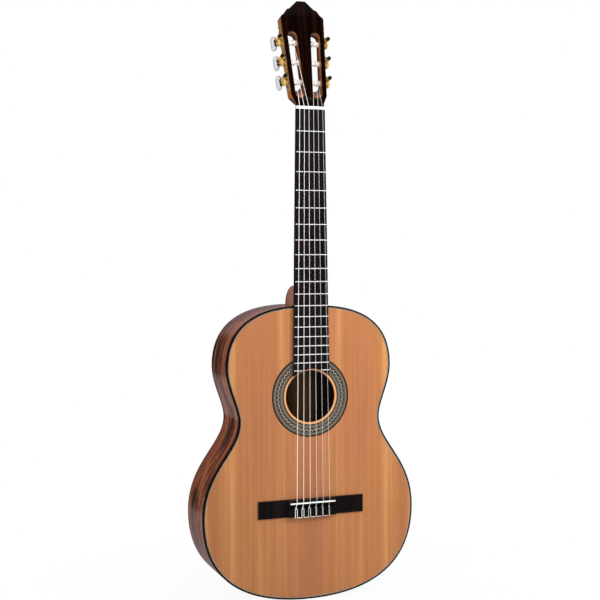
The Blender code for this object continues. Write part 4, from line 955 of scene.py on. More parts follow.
def make_rosette():
    skin = 0.03 * MM
    profile = [(-skin, ROSETTE_INNER_RADIUS + 0.05 * MM), (-skin, ROSETTE_OUTER_RADIUS - 0.05 * MM),
               (0.05 * MM, ROSETTE_OUTER_RADIUS), (ROSETTE_THICKNESS, ROSETTE_OUTER_RADIUS),
               (ROSETTE_THICKNESS, ROSETTE_INNER_RADIUS), (0.05 * MM, ROSETTE_INNER_RADIUS)]
    mesh = lathe(profile, "Y", 160, closed=True)
    add_piece("rosette_inlaid", mesh, "rosette_inlay",
              BODY @ Matrix.Translation((0, 0, SOUNDHOLE_Z)), stands_for=["rosette"])


def make_bindings():
    round_edge = [(1.0, 0.0), (0.62, 0.08), (0.29, 0.29), (0.08, 0.62), (0.0, 1.0)]
    front = [(BINDING_WIDTH, BINDING_HEIGHT), (BINDING_WIDTH, 0.0)]
    front += [(inset * MM, depth * MM) for inset, depth in round_edge] + [(0.0, BINDING_HEIGHT)]
    add_piece("front_binding", sweep([(front, 0)]), "black_binding", stands_for=["top_binding"])

    def deep(depth):
        return lambda z: back_face(z) - depth

    rear = [(BINDING_WIDTH, deep(BINDING_HEIGHT)), (BINDING_WIDTH, deep(0.0))]
    rear += [(inset * MM, deep(depth * MM)) for inset, depth in round_edge]
    rear += [(0.0, deep(BINDING_HEIGHT))]
    add_piece("rear_binding", sweep([(rear, 0)]), "black_binding", stands_for=["back_binding"])

    strips, names = [], ["light_purfling", "dark_purfling"]
    for inner, outer, name in PURFLING:
        points = [(inner, 0.0), (outer, 0.0), (outer, SOUNDBOARD_THICKNESS),
                  (inner, SOUNDBOARD_THICKNESS)]
        strips.append((points, names.index(name)))
    add_piece("front_purfling", sweep(strips), names)
    inner = BINDING_WIDTH + REAR_PURFLING_WIDTH
    points = [(BINDING_WIDTH, deep(0.0)), (inner, deep(0.0)), (inner, deep(BACK_THICKNESS)),
              (BINDING_WIDTH, deep(BACK_THICKNESS))]
    add_piece("rear_purfling", sweep([(points, 0)]), "light_purfling")


def make_sides():
    def deep(z):
        return back_face(z) - BINDING_HEIGHT

    section = [(0.0, BINDING_HEIGHT), (0.0, deep), (RIB_THICKNESS, deep),
               (RIB_THICKNESS, BINDING_HEIGHT)]
    for side, label in ((-1, "bass"), (1, "treble")):
        add_piece("rib_" + label, sweep([(section, 0)], side), "rib_rosewood",
                  stands_for=["side_" + label])


def make_back():
    """A slightly domed back, rows of points across the body."""
    columns = 18
    points = half_outline(BINDING_WIDTH + REAR_PURFLING_WIDTH)
    bm = bmesh.new()
    grids = []
    for depth in (0.0, BACK_THICKNESS):
        grid = []
        for index, point in enumerate(points):
            ends = index in (0, len(points) - 1)
            row = []
            for column in range(-columns, columns + 1):
                share = column / columns
                x = 0.0 if ends else point.x * share
                length_share = 2 * point.y / BODY_LENGTH - 1
                dome = BACK_DOME * (1 - share * share) * max(1 - length_share ** 4, 0.0)
                dome = 0.0 if ends else dome
                row.append(bm.verts.new((x, back_face(point.y) - depth + dome, point.y)))
            grid.append(row)
        grids.append(grid)
    for grid in grids:
        for low, high in zip(grid, grid[1:]):
            for i in range(len(low) - 1):
                bm.faces.new((low[i], low[i + 1], high[i + 1], high[i]))
    outer, inner = grids
    for column in (0, -1):
        for i in range(len(outer) - 1):
            bm.faces.new((outer[i][column], outer[i + 1][column], inner[i + 1][column],
                          inner[i][column]))
    for row in (0, -1):
        for i in range(len(outer[0]) - 1):
            bm.faces.new((outer[row][i], outer[row][i + 1], inner[row][i + 1], inner[row][i]))
    bmesh.ops.remove_doubles(bm, verts=bm.verts, dist=1e-7)
    bmesh.ops.dissolve_degenerate(bm, edges=bm.edges, dist=1e-8)
    add_piece("back_plate", finished_mesh(bm), "back_rosewood", stands_for=["back"])


def make_end_graft():
    loop = rectangle(-GRAFT_HALF_WIDTH, GRAFT_HALF_WIDTH, 0.0, RIB_THICKNESS)
    mesh = plate([loop], [(BINDING_HEIGHT, 0), (back_face(0) - BINDING_HEIGHT, 0)])
    add_piece("tail_graft", mesh, "black_binding", stands_for=["end_graft"])


def keep_inner_nodes():
    """The bracing, linings and blocks keep their CAD shapes and get their wood."""
    looks = {"neck_block": "block_mahogany", "tail_block": "block_mahogany",
             "back_centre_strip": "inner_strip", "back_brace_waist": "inner_strip",
             "back_brace_upper": "inner_strip"}
    for name in ("neck_block", "tail_block", "top_lining_bass", "top_lining_treble",
                 "back_lining_bass", "back_lining_treble", "upper_harmonic_bar",
                 "lower_harmonic_bar", "fan_bracing", "back_centre_strip", "back_brace_lower",
                 "back_brace_waist", "back_brace_upper"):
        mesh = nodes[name].data
        mesh.materials.clear()
        mesh.materials.append(LOOKS[looks.get(name, "brace_spruce")])


# --- bridge -----------------------------------------------------------------------------------
def string_x(index, z):
    """Sideways place of a string at height z; string 0 is the lowest bass string."""
    slope = (STRING_SPREAD_AT_NUT - STRING_SPREAD_AT_SADDLE) / (NUT_Z - SADDLE_Z)
    return (STRING_SPREAD_AT_SADDLE + slope * (z - SADDLE_Z)) * (index / 5 - 0.5)


TIE_LOW = BRIDGE_LOW.z + 0.2 * MM
TIE_HIGH = BRIDGE_LOW.z + 13.2 * MM
TIE_TOP = 9.0 * MM


def make_bridge():
    half_width = BRIDGE_HIGH.x
    wing = plate([rectangle(-half_width, half_width, BRIDGE_LOW.z, BRIDGE_HIGH.z, 0.6 * MM)],
                 rounded_levels(0.0, -WING_THICKNESS, 0.9 * MM, both=False))
    for vertex in wing.vertices:
        # the wings thin a little towards their tips
        tip = max(abs(vertex.co.x) - WING_TAPER_START, 0.0) / (half_width - WING_TAPER_START)
        vertex.co.y *= 1 - 0.16 * tip
    centre = TIE_HALF_LENGTH
    tie = plate([rectangle(-centre, centre, TIE_LOW, TIE_HIGH, 0.6 * MM)],
                rounded_levels(-1.0 * MM, -TIE_TOP, 0.7 * MM, both=False))
    rail = plate([rectangle(-centre, centre, BRIDGE_HIGH.z - 10.0 * MM, BRIDGE_HIGH.z - 0.5 * MM,
                            0.6 * MM)],
                 rounded_levels(-1.0 * MM, -TIE_TOP, 1.2 * MM, both=False))
    shape = boolean(wing, [tie, rail], "UNION")
    slot = plate([rectangle(-SADDLE_HALF_LENGTH, SADDLE_HALF_LENGTH, SADDLE_Z - SADDLE_HALF_THICKNESS,
                            SADDLE_Z + SADDLE_HALF_THICKNESS)], [(-4.0 * MM, 0), (-30 * MM, 0)])
    cutters = [slot]
    for index in range(6):
        hole = rod(TIE_LOW - 2 * MM, TIE_HIGH + 2 * MM, STRING_HOLE_RADIUS, "Z", 16)
        hole.transform(Matrix.Translation((string_x(index, TIE_LOW), -STRING_HOLE_HEIGHT, 0)))
        cutters.append(hole)
    add_piece("bridge_body", boolean(shape, cutters), "ebony_bridge", stands_for=["bridge"])


def make_saddle():
    """A bone saddle with a rounded crown."""
    half, edge = SADDLE_HALF_THICKNESS, SADDLE_HALF_LENGTH - 0.1 * MM
    loop = round_corners([(-half, 4.1 * MM), (half, 4.1 * MM), (half, SADDLE_TOP), (-half, SADDLE_TOP)],
                         0.9 * MM, 6)
    mesh = plate([loop], rounded_levels(-edge, edge, 0.5 * MM))
    for vertex in mesh.vertices:
        across, along, height = vertex.co
        vertex.co = (along, -height, SADDLE_Z + across)
    mesh.flip_normals()
    add_piece("saddle_bone", mesh, "bone", stands_for=["saddle"])


def make_nut():
    """A bone nut, its back rounded off, with a slot for each string."""
    loop = [(0.0, 0.0), (0.0, NUT_TOP - 0.3 * MM), (0.4 * MM, NUT_TOP), (2.2 * MM, NUT_TOP),
            (3.6 * MM, NUT_TOP - 0.45 * MM), (4.6 * MM, NUT_TOP - 1.3 * MM),
            (NUT_LENGTH, NUT_TOP - 2.4 * MM), (NUT_LENGTH, 0.0)]
    mesh = plate([loop], rounded_levels(-NUT_HALF_WIDTH, NUT_HALF_WIDTH, 0.5 * MM))
    for vertex in mesh.vertices:
        along, across, height = vertex.co
        vertex.co = (across, -height, NUT_Z + along)
    mesh.flip_normals()
    cutters = []
    for index in range(6):
        x, radius = string_x(index, NUT_Z), STRING_RADII[index] + 0.05 * MM
        height = NUT_TOP + STRING_RADII[index] * 0.35
        cutters.append(tube([(x, -height, NUT_Z - 2 * MM),
                             (x, -height, NUT_Z + 2 * MM),
                             (x, -height + 1.6 * MM, NUT_Z + NUT_LENGTH + 2 * MM)], radius))
    add_piece("nut_bone", boolean(mesh, cutters), "bone", stands_for=["nut"])


# --- fingerboard ------------------------------------------------------------------------------
def board_half_width(z):
    return NUT_HALF_WIDTH + BOARD_SLOPE * (NUT_Z - z)


def fret_z(number):
    return NUT_Z - SCALE_LENGTH * (1 - 2 ** (-number / 12))


def make_fingerboard():
    z = 372 * MM   # a first guess; the round end meets the board's edges where both formulas agree
    for _ in range(6):
        z = SOUNDHOLE_Z + math.sqrt(FINGERBOARD_END_RADIUS ** 2 - board_half_width(z) ** 2)
    edge = math.atan2(z - SOUNDHOLE_Z, board_half_width(z))
    sweep_angles = [edge + (math.pi - 2 * edge) * i / 40 for i in range(41)]
    end = [(FINGERBOARD_END_RADIUS * math.cos(a), SOUNDHOLE_Z + FINGERBOARD_END_RADIUS * math.sin(a))
           for a in sweep_angles]
    loop = [(-NUT_HALF_WIDTH, NUT_Z), (NUT_HALF_WIDTH, NUT_Z)] + end
    mesh = plate([loop], rounded_levels(0.0, -FINGERBOARD_TOP, 0.5 * MM, both=False))
    add_piece("fingerboard_ebony", mesh, "ebony_board", stands_for=["fingerboard"])


def make_frets():
    crown = [(-0.5, -0.35), (-0.5, 0.02), (-0.44, 0.36), (-0.31, 0.70), (-0.15, 0.93), (0.0, 1.0),
             (0.15, 0.93), (0.31, 0.70), (0.44, 0.36), (0.5, 0.02), (0.5, -0.35)]
    cutter = rod(-30 * MM, 30 * MM, FINGERBOARD_END_RADIUS + 0.6 * MM, "Y", 128)
    cutter.transform(Matrix.Translation((0, 0, SOUNDHOLE_Z)))
    for number in range(1, FRET_COUNT + 1):
        z = fret_z(number)
        half = board_half_width(z) - 0.15 * MM
        bm = bmesh.new()
        rings = []
        for x, share in ((-half, 0.55), (-half + 0.3 * MM, 0.90), (-half + 0.7 * MM, 1.0),
                         (half - 0.7 * MM, 1.0), (half - 0.3 * MM, 0.90), (half, 0.55)):
            rings.append([bm.verts.new((x, -FINGERBOARD_TOP - up * FRET_HEIGHT *
                                        (share if up > 0 else 1.0),
                                        z + across * FRET_WIDTH * (0.8 + 0.2 * share)))
                          for across, up in crown])
        skin(bm, rings)
        bm.faces.new(rings[0])
        bm.faces.new(rings[-1])
        mesh = finished_mesh(bm)
        if number == FRET_COUNT:
            mesh = boolean(mesh, [cutter])
        add_piece("fret_%02d" % number, mesh, "nickel_silver", smooth=50)


# --- neck -------------------------------------------------------------------------------------
def heel_cap_half_width(z):
    """The cap's half width at height z: broad at the body, closing in a blunt point."""
    rise = min(max((z - BODY_LENGTH) / HEEL_CAP_LENGTH, 0.0), 1.0)
    return HEEL_CAP_HALF_WIDTH * (1 - rise ** 2.2) ** 0.62


def neck_section(z):
    """Half widths across the neck from its flat front to its back, at height z."""
    cap_top = BODY_LENGTH + HEEL_CAP_LENGTH
    share = min(max((HEEL_START - z) / (HEEL_START - cap_top), 0.0), 1.0)
    bow = 1 - math.sqrt(max(1 - share ** 2.2, 0.0))
    shaft_depth = 15 * MM + 2 * MM * (NUT_Z - z) / (NUT_Z - fret_z(9))
    heel_depth = back_face(BODY_LENGTH) - HEEL_CAP_THICKNESS
    depth = shaft_depth + (heel_depth - shaft_depth) * bow
    width = board_half_width(max(z, BODY_LENGTH))
    heel_back = heel_cap_half_width(z)
    section = []
    steps = 22
    for step in range(steps + 1):
        fraction = math.sin(math.pi / 2 * step / steps)
        round_back = math.sqrt(1 - fraction ** 1.9) * (width - 0.4 * MM)
        heel_side = heel_back + (width - heel_back) * (1 - fraction) ** 1.35
        half = round_back + (heel_side - round_back) * bow
        section.append((max(half, 0.6 * MM), depth * fraction))
    return section


def head_loop(start=0.0):
    right = [(HEAD_ROOT_HALF_WIDTH, start)] + [(x * MM, z * MM) for x, z in HEAD_HALF_OUTLINE]
    return round_corners(both_halves(right), 0.7 * MM, 3)


def slot_cutter(side):
    """One string slot in the head's frame: straight sides, round ends, its lower end a ramp."""
    radius = SLOT_WIDTH / 2
    x = -side * (HEAD_RIM_WIDTH + radius)
    low = SLOT_BOTTOM - MIDDLE_TUNER_HEIGHT + radius
    high = SLOT_TOP - MIDDLE_TUNER_HEIGHT - radius
    angles = [math.pi * i / 16 for i in range(17)]
    loop = [(x + radius * math.cos(a), high + radius * math.sin(a)) for a in angles]
    loop += [(x - radius * math.cos(a), low - radius * math.sin(a)) for a in angles]
    depths = [-0.4 * MM, 0.25 * MM, HEAD_THICKNESS - 0.3 * MM, HEAD_THICKNESS + 0.4 * MM]
    mesh = plate([loop], list(zip(depths, (-0.4 * MM, 0, 0, -0.4 * MM))))
    for vertex in mesh.vertices:
        if vertex.co.z < (low + high) / 2:
            vertex.co.z += SLOT_RAMP * vertex.co.y / HEAD_THICKNESS
    mesh.transform(Matrix.Translation((side * HEAD_SIDE_HALF_WIDTH, 0, MIDDLE_TUNER_HEIGHT))
                   @ Matrix.Rotation(side * math.atan(HEAD_SIDE_SLOPE), 4, "Y"))
    return mesh


def make_neck():
    """Shaft and heel lofted from sections, joined to the slotted head, bored for the rollers."""
    cap_top = BODY_LENGTH + HEEL_CAP_LENGTH
    head_blend = NUT_Z - 30 * MM
    heights = [BODY_LENGTH + HEEL_CAP_LENGTH * (1 - (1 - i / 14) ** 1.6) for i in range(15)]
    heights += [cap_top + (HEEL_START - cap_top) * (i / 16) ** 1.7 for i in range(1, 17)]
    heights += [HEEL_START + (head_blend - HEEL_START) * i / 10 for i in range(1, 11)]
    heights += [head_blend + 35 * MM * i / 12 for i in range(1, 13)]
    bm = bmesh.new()
    rings = []
    for z in heights:
        rings.append([bm.verts.new((x, y, z)) for x, y in both_halves(neck_section(z))])
    skin(bm, rings)
    bm.faces.new(rings[0])
    bm.faces.new(rings[-1])
    bmesh.ops.triangulate(bm, faces=[f for f in bm.faces if len(f.verts) > 4])
    shaft = finished_mesh(bm)
    shaft.transform(BODY)
    head = plate([head_loop()],
                 rounded_levels(VENEER_THICKNESS, HEAD_THICKNESS, 1.2 * MM, both=False))
    for vertex in head.vertices:
        # the square block narrows towards the round back of the neck
        root = max(1 - vertex.co.z / HEAD_SQUARE_HEIGHT, 0.0) * (1 - HEAD_ROOT_BACK_SHARE)
        depth = (vertex.co.y - VENEER_THICKNESS) / (HEAD_THICKNESS - VENEER_THICKNESS)
        vertex.co.x *= 1 - root * depth
    head.transform(HEAD)
    neck = boolean(shaft, [head], "UNION", "MANIFOLD")
    seat = plate([rectangle(-40 * MM, 40 * MM, NUT_Z - 20 * MM, NUT_Z + NUT_LENGTH)],
                 [(-40 * MM, 0), (0.0, 0)])
    seat.transform(BODY)
    cutters = [seat]
    for side in (-1, 1):
        slot = slot_cutter(side)
        slot.transform(HEAD)
        cutters.append(slot)
    for place in TUNERS.values():
        side = place["side"]
        inner = MECHANISM_OFFSET + HEAD_RIM_WIDTH + SLOT_WIDTH
        for start, end, radius in ((-1 * MM, inner - 1 * MM, 3.2 * MM),
                                   (inner - 2 * MM, inner + 4.2 * MM, 2.1 * MM)):
            bore = rod(start, end, radius, "X", 24)
            bore.transform(place["matrix"] @ Matrix.Rotation(math.pi if side > 0 else 0.0, 4, "Z"))
            cutters.append(bore)
    mesh = boolean(neck, cutters)
    add_piece("neck_blank", mesh, "neck_mahogany", Matrix.Identity(4), stands_for=["neck"],
              smooth=32)


def make_head_veneer():
    start = (NUT_LENGTH + 0.1 * MM) / math.cos(HEAD_TILT)
    facing = plate([head_loop(start)],
                   rounded_levels(VENEER_THICKNESS, 0.0, 0.45 * MM, both=False))
    mesh = boolean(facing, [slot_cutter(-1), slot_cutter(1)])
    add_piece("head_facing", mesh, "head_rosewood", HEAD, stands_for=["head_veneer"])


def make_heel_cap():
    steps = 20
    heights = [BODY_LENGTH + HEEL_CAP_LENGTH * math.sin(math.pi / 2 * i / steps) for i in range(steps)]
    right = [(heel_cap_half_width(z), z) for z in heights]
    loop = right + [(0.0, BODY_LENGTH + HEEL_CAP_LENGTH)] + [(-x, z) for x, z in right[::-1]]
    face = back_face(BODY_LENGTH)
    mesh = plate([loop], rounded_levels(face - HEEL_CAP_THICKNESS, face, 0.5 * MM, both=False))
    add_piece("heel_cap_ebony", mesh, "ebony_bridge", stands_for=["heel_cap"])


# --- tuning machines --------------------------------------------------------------------------
def tuner_places():
    """Each machine's frame: X out from the head along the roller, Y back, Z up; origin at the gear."""
    places = {}
    for side, label in ((-1, "bass"), (1, "treble")):
        for number in (1, 2, 3):
            name = label + "_" + str(number)
            roller = joints["roller_%s_turn" % name]
            key = joints["tuning_key_%s_turn" % name]
            x_axis = Vector(roller["axis"]).normalized()
            y_axis = Vector(key["axis"]).normalized()
            matrix = Matrix((x_axis, y_axis, x_axis.cross(y_axis))).transposed().to_4x4()
            matrix.translation = Vector(roller["pos_m"])
            places[name] = {"matrix": matrix, "side": side}
    return places


TUNERS = tuner_places()


def gear_mesh():
    """A brass gear about X, a gap facing +Z at its mid-plane and its teeth leaning with the worm."""
    root = GEAR_PITCH_RADIUS - 1.0 * MM
    tip = GEAR_PITCH_RADIUS + 0.6 * MM
    root_half = TOOTH_THICKNESS / 2 + 1.0 * MM * PRESSURE_TAPER
    tip_half = TOOTH_THICKNESS / 2 - 0.6 * MM * PRESSURE_TAPER
    twist_per_length = AXIAL_PITCH / (math.tau * WORM_PITCH_RADIUS) / GEAR_PITCH_RADIUS
    loop = []
    for tooth in range(GEAR_TEETH):
        centre = math.tau * (tooth + 0.5) / GEAR_TEETH
        for radius, half in ((root, -root_half), (tip, -tip_half), (tip, tip_half),
                             (root, root_half)):
            angle = centre + half / radius
            loop.append((radius * math.sin(angle), radius * math.cos(angle)))
    half = GEAR_WIDTH / 2
    edge = 0.25 * MM
    mesh = plate([loop, circle(1.8 * MM, 0, 0, 32)],
                 [(-half, edge), (-half + edge, 0), (half - edge, 0), (half, edge)])
    for vertex in mesh.vertices:
        u, x, v = vertex.co
        twist = twist_per_length * x
        vertex.co = (x, -(u * math.cos(twist) + v * math.sin(twist)),
                     v * math.cos(twist) - u * math.sin(twist))
    return joined([mesh])


def worm_mesh():
    """Front ball, journals, thread and a turned collar, about Y; its origin is at mid-thread."""
    ball = 3.4 * MM
    ball_centre = -10.6 * MM
    profile = arc(ball_centre, ball, 180, 32, 14)
    profile += [(ball_centre + 2.9 * MM, 2.0 * MM), (ball_centre + 3.1 * MM, 2.7 * MM),
                (-EAR_OFFSET - 0.9 * MM, 2.7 * MM), (-EAR_OFFSET - 0.8 * MM, THREAD_CORE_RADIUS),
                (EAR_OFFSET + 0.9 * MM, THREAD_CORE_RADIUS), (EAR_OFFSET + 1.0 * MM, 2.3 * MM),
                (EAR_OFFSET + 1.5 * MM, 2.2 * MM)]
    profile += arc(EAR_OFFSET + 4.6 * MM, 3.5 * MM, 145, 35, 12)
    profile += [(BUTTON_FRONT, 2.3 * MM), (BUTTON_FRONT + 2.4 * MM, 2.2 * MM),
                (BUTTON_FRONT + 2.4 * MM, 0.0)]
    shaft = lathe(profile, "Y", 28)

    crest = WORM_PITCH_RADIUS + 0.7 * MM
    sunk = THREAD_CORE_RADIUS - 0.3 * MM
    crest_half = TOOTH_THICKNESS / 2 - 0.7 * MM * PRESSURE_TAPER
    sunk_half = TOOTH_THICKNESS / 2 + (WORM_PITCH_RADIUS - sunk) * PRESSURE_TAPER
    turns, steps_per_turn = 2.5, 20
    start = -AXIAL_PITCH * turns / 2
    bm = bmesh.new()
    section = []
    for radius, along in ((sunk, -sunk_half), (crest, -crest_half), (crest, crest_half),
                          (sunk, sunk_half)):
        place = Vector((0, start + along, -radius))
        place.rotate(Matrix.Rotation(-math.pi * turns, 3, "Y"))
        section.append(bm.verts.new(place))
    bmesh.ops.spin(bm, geom=[bm.faces.new(section)], axis=(0, 1, 0), cent=(0, 0, 0),
                   dvec=(0, AXIAL_PITCH / steps_per_turn, 0), angle=math.tau * turns,
                   steps=int(turns * steps_per_turn))
    mesh = boolean(shaft, [finished_mesh(bm)], "UNION")
    mesh.materials.append(LOOKS["black_steel"])
    mesh.materials.append(LOOKS["gilt_brass"])
    for polygon in mesh.polygons:
        polygon.material_index = int(abs(polygon.center.y) < EAR_OFFSET + 0.85 * MM)
    return mesh


def roller_mesh(side):
    """Cream sleeve between two flanges, its journal, gear spigot and screw, about X."""
    inner = -(MECHANISM_OFFSET + HEAD_RIM_WIDTH + SLOT_WIDTH)
    rim = -(MECHANISM_OFFSET + HEAD_RIM_WIDTH)
    flange, core = ROLLER_FLANGE_RADIUS, ROLLER_RADIUS
    profile = [(inner - 4 * MM, 0.0), (inner - 4 * MM, 2.0 * MM), (inner + 0.3 * MM, 2.0 * MM),
               (inner + 0.3 * MM, flange - 0.3 * MM), (inner + 0.6 * MM, flange),
               (inner + 2.2 * MM, flange), (inner + 2.6 * MM, core + 0.2 * MM),
               (inner + 3.2 * MM, core), (rim - 3.2 * MM, core), (rim - 2.6 * MM, core + 0.2 * MM),
               (rim - 2.2 * MM, flange), (rim - 0.6 * MM, flange),
               (rim - 0.3 * MM, flange - 0.3 * MM), (rim - 0.3 * MM, 3.1 * MM)]
    profile += [(-1.8 * MM, 3.1 * MM), (-1.8 * MM, 1.7 * MM), (1.7 * MM, 1.7 * MM),
                (1.7 * MM, 2.6 * MM), (2.3 * MM, 2.55 * MM), (2.9 * MM, 2.1 * MM),
                (3.25 * MM, 1.2 * MM), (3.3 * MM, 0.0)]
    mesh = lathe(profile, "X", 32)
    hole = rod(-9 * MM, 9 * MM, 0.9 * MM, "Y", 16)
    hole.transform(Matrix.Translation(((inner + rim) / 2, 0, 0)))
    slot = plate([rectangle(3.0 * MM, 5 * MM, -4 * MM, 4 * MM)], [(-0.35 * MM, 0), (0.35 * MM, 0)])
    mesh = boolean(mesh, [hole, slot])
    mesh.materials.append(LOOKS["roller_plastic"])
    mesh.materials.append(LOOKS["gilt_brass"])
    for polygon in mesh.polygons:
        polygon.material_index = int(polygon.center.x > rim)
    if side < 0:
        mesh.transform(Matrix.Rotation(math.pi, 4, "Z"))
    return mesh


def button_mesh():
    """An oval button about Y with a thumb hollow on both faces."""
    half_thickness, half_length, half_height = 5.2 * MM, 9.2 * MM, 12.8 * MM
    around, up = 40, 26
    bm = bmesh.new()
    rows = []
    for row in range(1, up):
        latitude = math.pi * row / up
        ring = []
        for column in range(around):
            angle = math.tau * column / around
            direction = Vector((math.sin(latitude) * math.cos(angle),
                                math.sin(latitude) * math.sin(angle), math.cos(latitude)))
            size = sum(abs(c) ** 2.35 for c in direction) ** (-1 / 2.35)
            x, y, z = direction * size
            hollow = 0.82 + 0.18 * min(abs(z) * 1.35, 1.0) ** 2
            waist = 1 - 0.08 * (1 - min(abs(z) * 1.2, 1.0) ** 2)
            ring.append(bm.verts.new((x * half_thickness * hollow, y * half_length * waist,
                                      z * half_height)))
        rows.append(ring)
    skin(bm, rows)
    fan(bm, rows[0], (0, 0, half_height))
    fan(bm, rows[-1], (0, 0, -half_height))
    bmesh.ops.translate(bm, vec=(0, BUTTON_CENTRE, 0), verts=bm.verts)
    return finished_mesh(bm)


def plate_half_width(z):
    """Half depth of the long side plate: a bar with lobes at the machines and at its two ends."""
    width = 4.3 * MM
    for centre in (-TUNER_SPACING, 0.0, TUNER_SPACING):
        away = abs(z - centre - 3 * MM) / (12 * MM)
        width = max(width, (7.6 - 3.3 * min(away, 1.0) ** 2.5) * MM)
    for centre, reach in ((60 * MM, 8.5 * MM), (-43 * MM, 7.0 * MM)):
        away = (z - centre) / reach
        if abs(away) < 1:
            width = max(width, 6.8 * MM * math.sqrt(1 - away * away))
        elif abs(z) > abs(centre):
            width = min(width, 1.7 * MM)
    return width


def plate_front():
    """The pierced plate, its raised rim and its rivets; X is the plate's depth and Y is outwards."""
    heights = [PLATE_BOTTOM + (PLATE_TOP - PLATE_BOTTOM) * i / 150 for i in range(151)]
    edge = [(plate_half_width(z), z) for z in heights]
    holes = [oval(3.6 * MM, 4.6 * MM, 0, centre, 24) for centre in (60 * MM, -43.5 * MM)]
    holes += [oval(1.9 * MM, 4.2 * MM, 0, centre + 2.6 * MM, 24)
              for centre in (-TUNER_SPACING / 2, TUNER_SPACING / 2)]
    base = plate([both_halves(edge)] + holes,
                 rounded_levels(0.05 * MM, 1.5 * MM, 0.35 * MM, both=False))
    rim_outer = [(w - 0.7 * MM, z) for w, z in edge if w > 1.8 * MM]
    rim_inner = [(w - 1.5 * MM, z) for w, z in edge if w > 2.6 * MM][2:-2]
    rim = plate([both_halves(rim_outer), both_halves(rim_inner)],
                rounded_levels(1.3 * MM, 1.8 * MM, 0.2 * MM, both=False))
    rivets = [(z, 0) for z in MIDDLE_RIVETS] + [(z, x) for z in EDGE_RIVETS for x in (-5.0, 5.0)]
    pieces = [base, rim]
    for z, x in rivets:
        head = lathe([(1.3 * MM, 0.0), (1.3 * MM, 1.5 * MM), (1.75 * MM, 1.5 * MM),
                      (2.2 * MM, 1.1 * MM), (2.4 * MM, 0.5 * MM), (2.42 * MM, 0.0)], "Y", 16)
        head.transform(Matrix.Translation((x * MM, 0, z * MM)))
        pieces.append(head)
    return pieces


def bearing_ears(side, worm_z):
    """The two ears that hold one worm."""
    reach = 3.3 * MM
    foot = side * 1.2 * MM
    angles = [math.radians(-90 + 180 * i / 14) for i in range(15)]
    loop = [(side * (MECHANISM_OFFSET + reach * math.cos(a)), worm_z + reach * math.sin(a))
            for a in angles]
    loop += [(foot, worm_z + 3.7 * MM), (foot, worm_z - 3.7 * MM)]
    shaft_hole = circle(1.9 * MM, side * MECHANISM_OFFSET, worm_z, 24)
    return [plate([loop, shaft_hole], rounded_levels(y - 0.7 * MM, y + 0.7 * MM, 0.2 * MM))
            for y in (-EAR_OFFSET, EAR_OFFSET)]


def lobe_and_arm(side, worm_z):
    """The black ball below the rear ear, and the arm that carries it."""
    arm = plate([rectangle(side * 1.2 * MM, side * 9.4 * MM, worm_z - 9.0 * MM, worm_z - 2.4 * MM,
                           1.8 * MM)], [(6.5 * MM, 0), (7.1 * MM, 0)])
    lobe = lathe([(6.7 * MM, 0.0), (6.7 * MM, 1.8 * MM), (7.5 * MM, 1.7 * MM)]
                 + arc(10.5 * MM, 3.3 * MM, 150, 0, 12), "Y", 20)
    lobe.transform(Matrix.Translation((side * (MECHANISM_OFFSET + 0.6 * MM), 0, worm_z - 6.9 * MM)))
    return lobe, arm


def make_tuner_plate(side, label):
    place = TUNERS[label + "_2"]["matrix"] @ Matrix.Translation((-side * MECHANISM_OFFSET, 0, 0))
    pieces, lobes = plate_front(), []
    for piece in pieces:
        for vertex in piece.vertices:
            back, out, up = vertex.co
            vertex.co = (side * out, back, up)
        if side < 0:
            piece.flip_normals()
    for number in (-1, 0, 1):
        worm_z = number * TUNER_SPACING + WORM_TO_GEAR
        lobe, arm = lobe_and_arm(side, worm_z)
        pieces += bearing_ears(side, worm_z) + [arm]
        lobes.append(lobe)
    add_piece("machine_plate_" + label, joined(pieces, lobes), ["engraved_brass", "black_steel"],
              place, stands_for=["tuner_plate_" + label])


def make_tuners():
    gear, worm, button = gear_mesh(), worm_mesh(), button_mesh()
    rollers = {1: roller_mesh(1), -1: roller_mesh(-1)}
    for side, label in ((-1, "bass"), (1, "treble")):
        make_tuner_plate(side, label)
    worm_up = Matrix.Translation((0, 0, WORM_TO_GEAR))
    for name, place in TUNERS.items():
        matrix, side = place["matrix"], place["side"]
        key, roller = "tuning_key_" + name, "roller_" + name
        add_piece("gear_" + name, gear.copy(), "gilt_brass", matrix, roller,
                  ["worm_gear_" + name], 30)
        add_piece("sleeve_" + name, rollers[side].copy(), "roller_plastic", matrix, roller,
                  ["string_roller_" + name], 40)
        add_piece("worm_" + name, worm.copy(), "black_steel", matrix @ worm_up, key,
                  ["worm_shaft_" + name], 40)
        add_piece("knob_" + name, button.copy(), "pearloid", matrix @ worm_up, key,
                  ["button_" + name], 60)


# --- strings ----------------------------------------------------------------------------------
def coil(x, top, spread, radius, steps):
    """Points of a nylon strand that winds about its neighbour along the tie block."""
    start = TIE_LOW + 0.8 * MM
    run = TIE_HIGH - TIE_LOW - 1.6 * MM
    turns = [(step, math.pi * step / 3) for step in steps]
    return [(x + spread * math.cos(turn), top - radius * 0.9 * (1 - math.cos(2 * turn)),
             start + run * step / 12) for step, turn in turns]


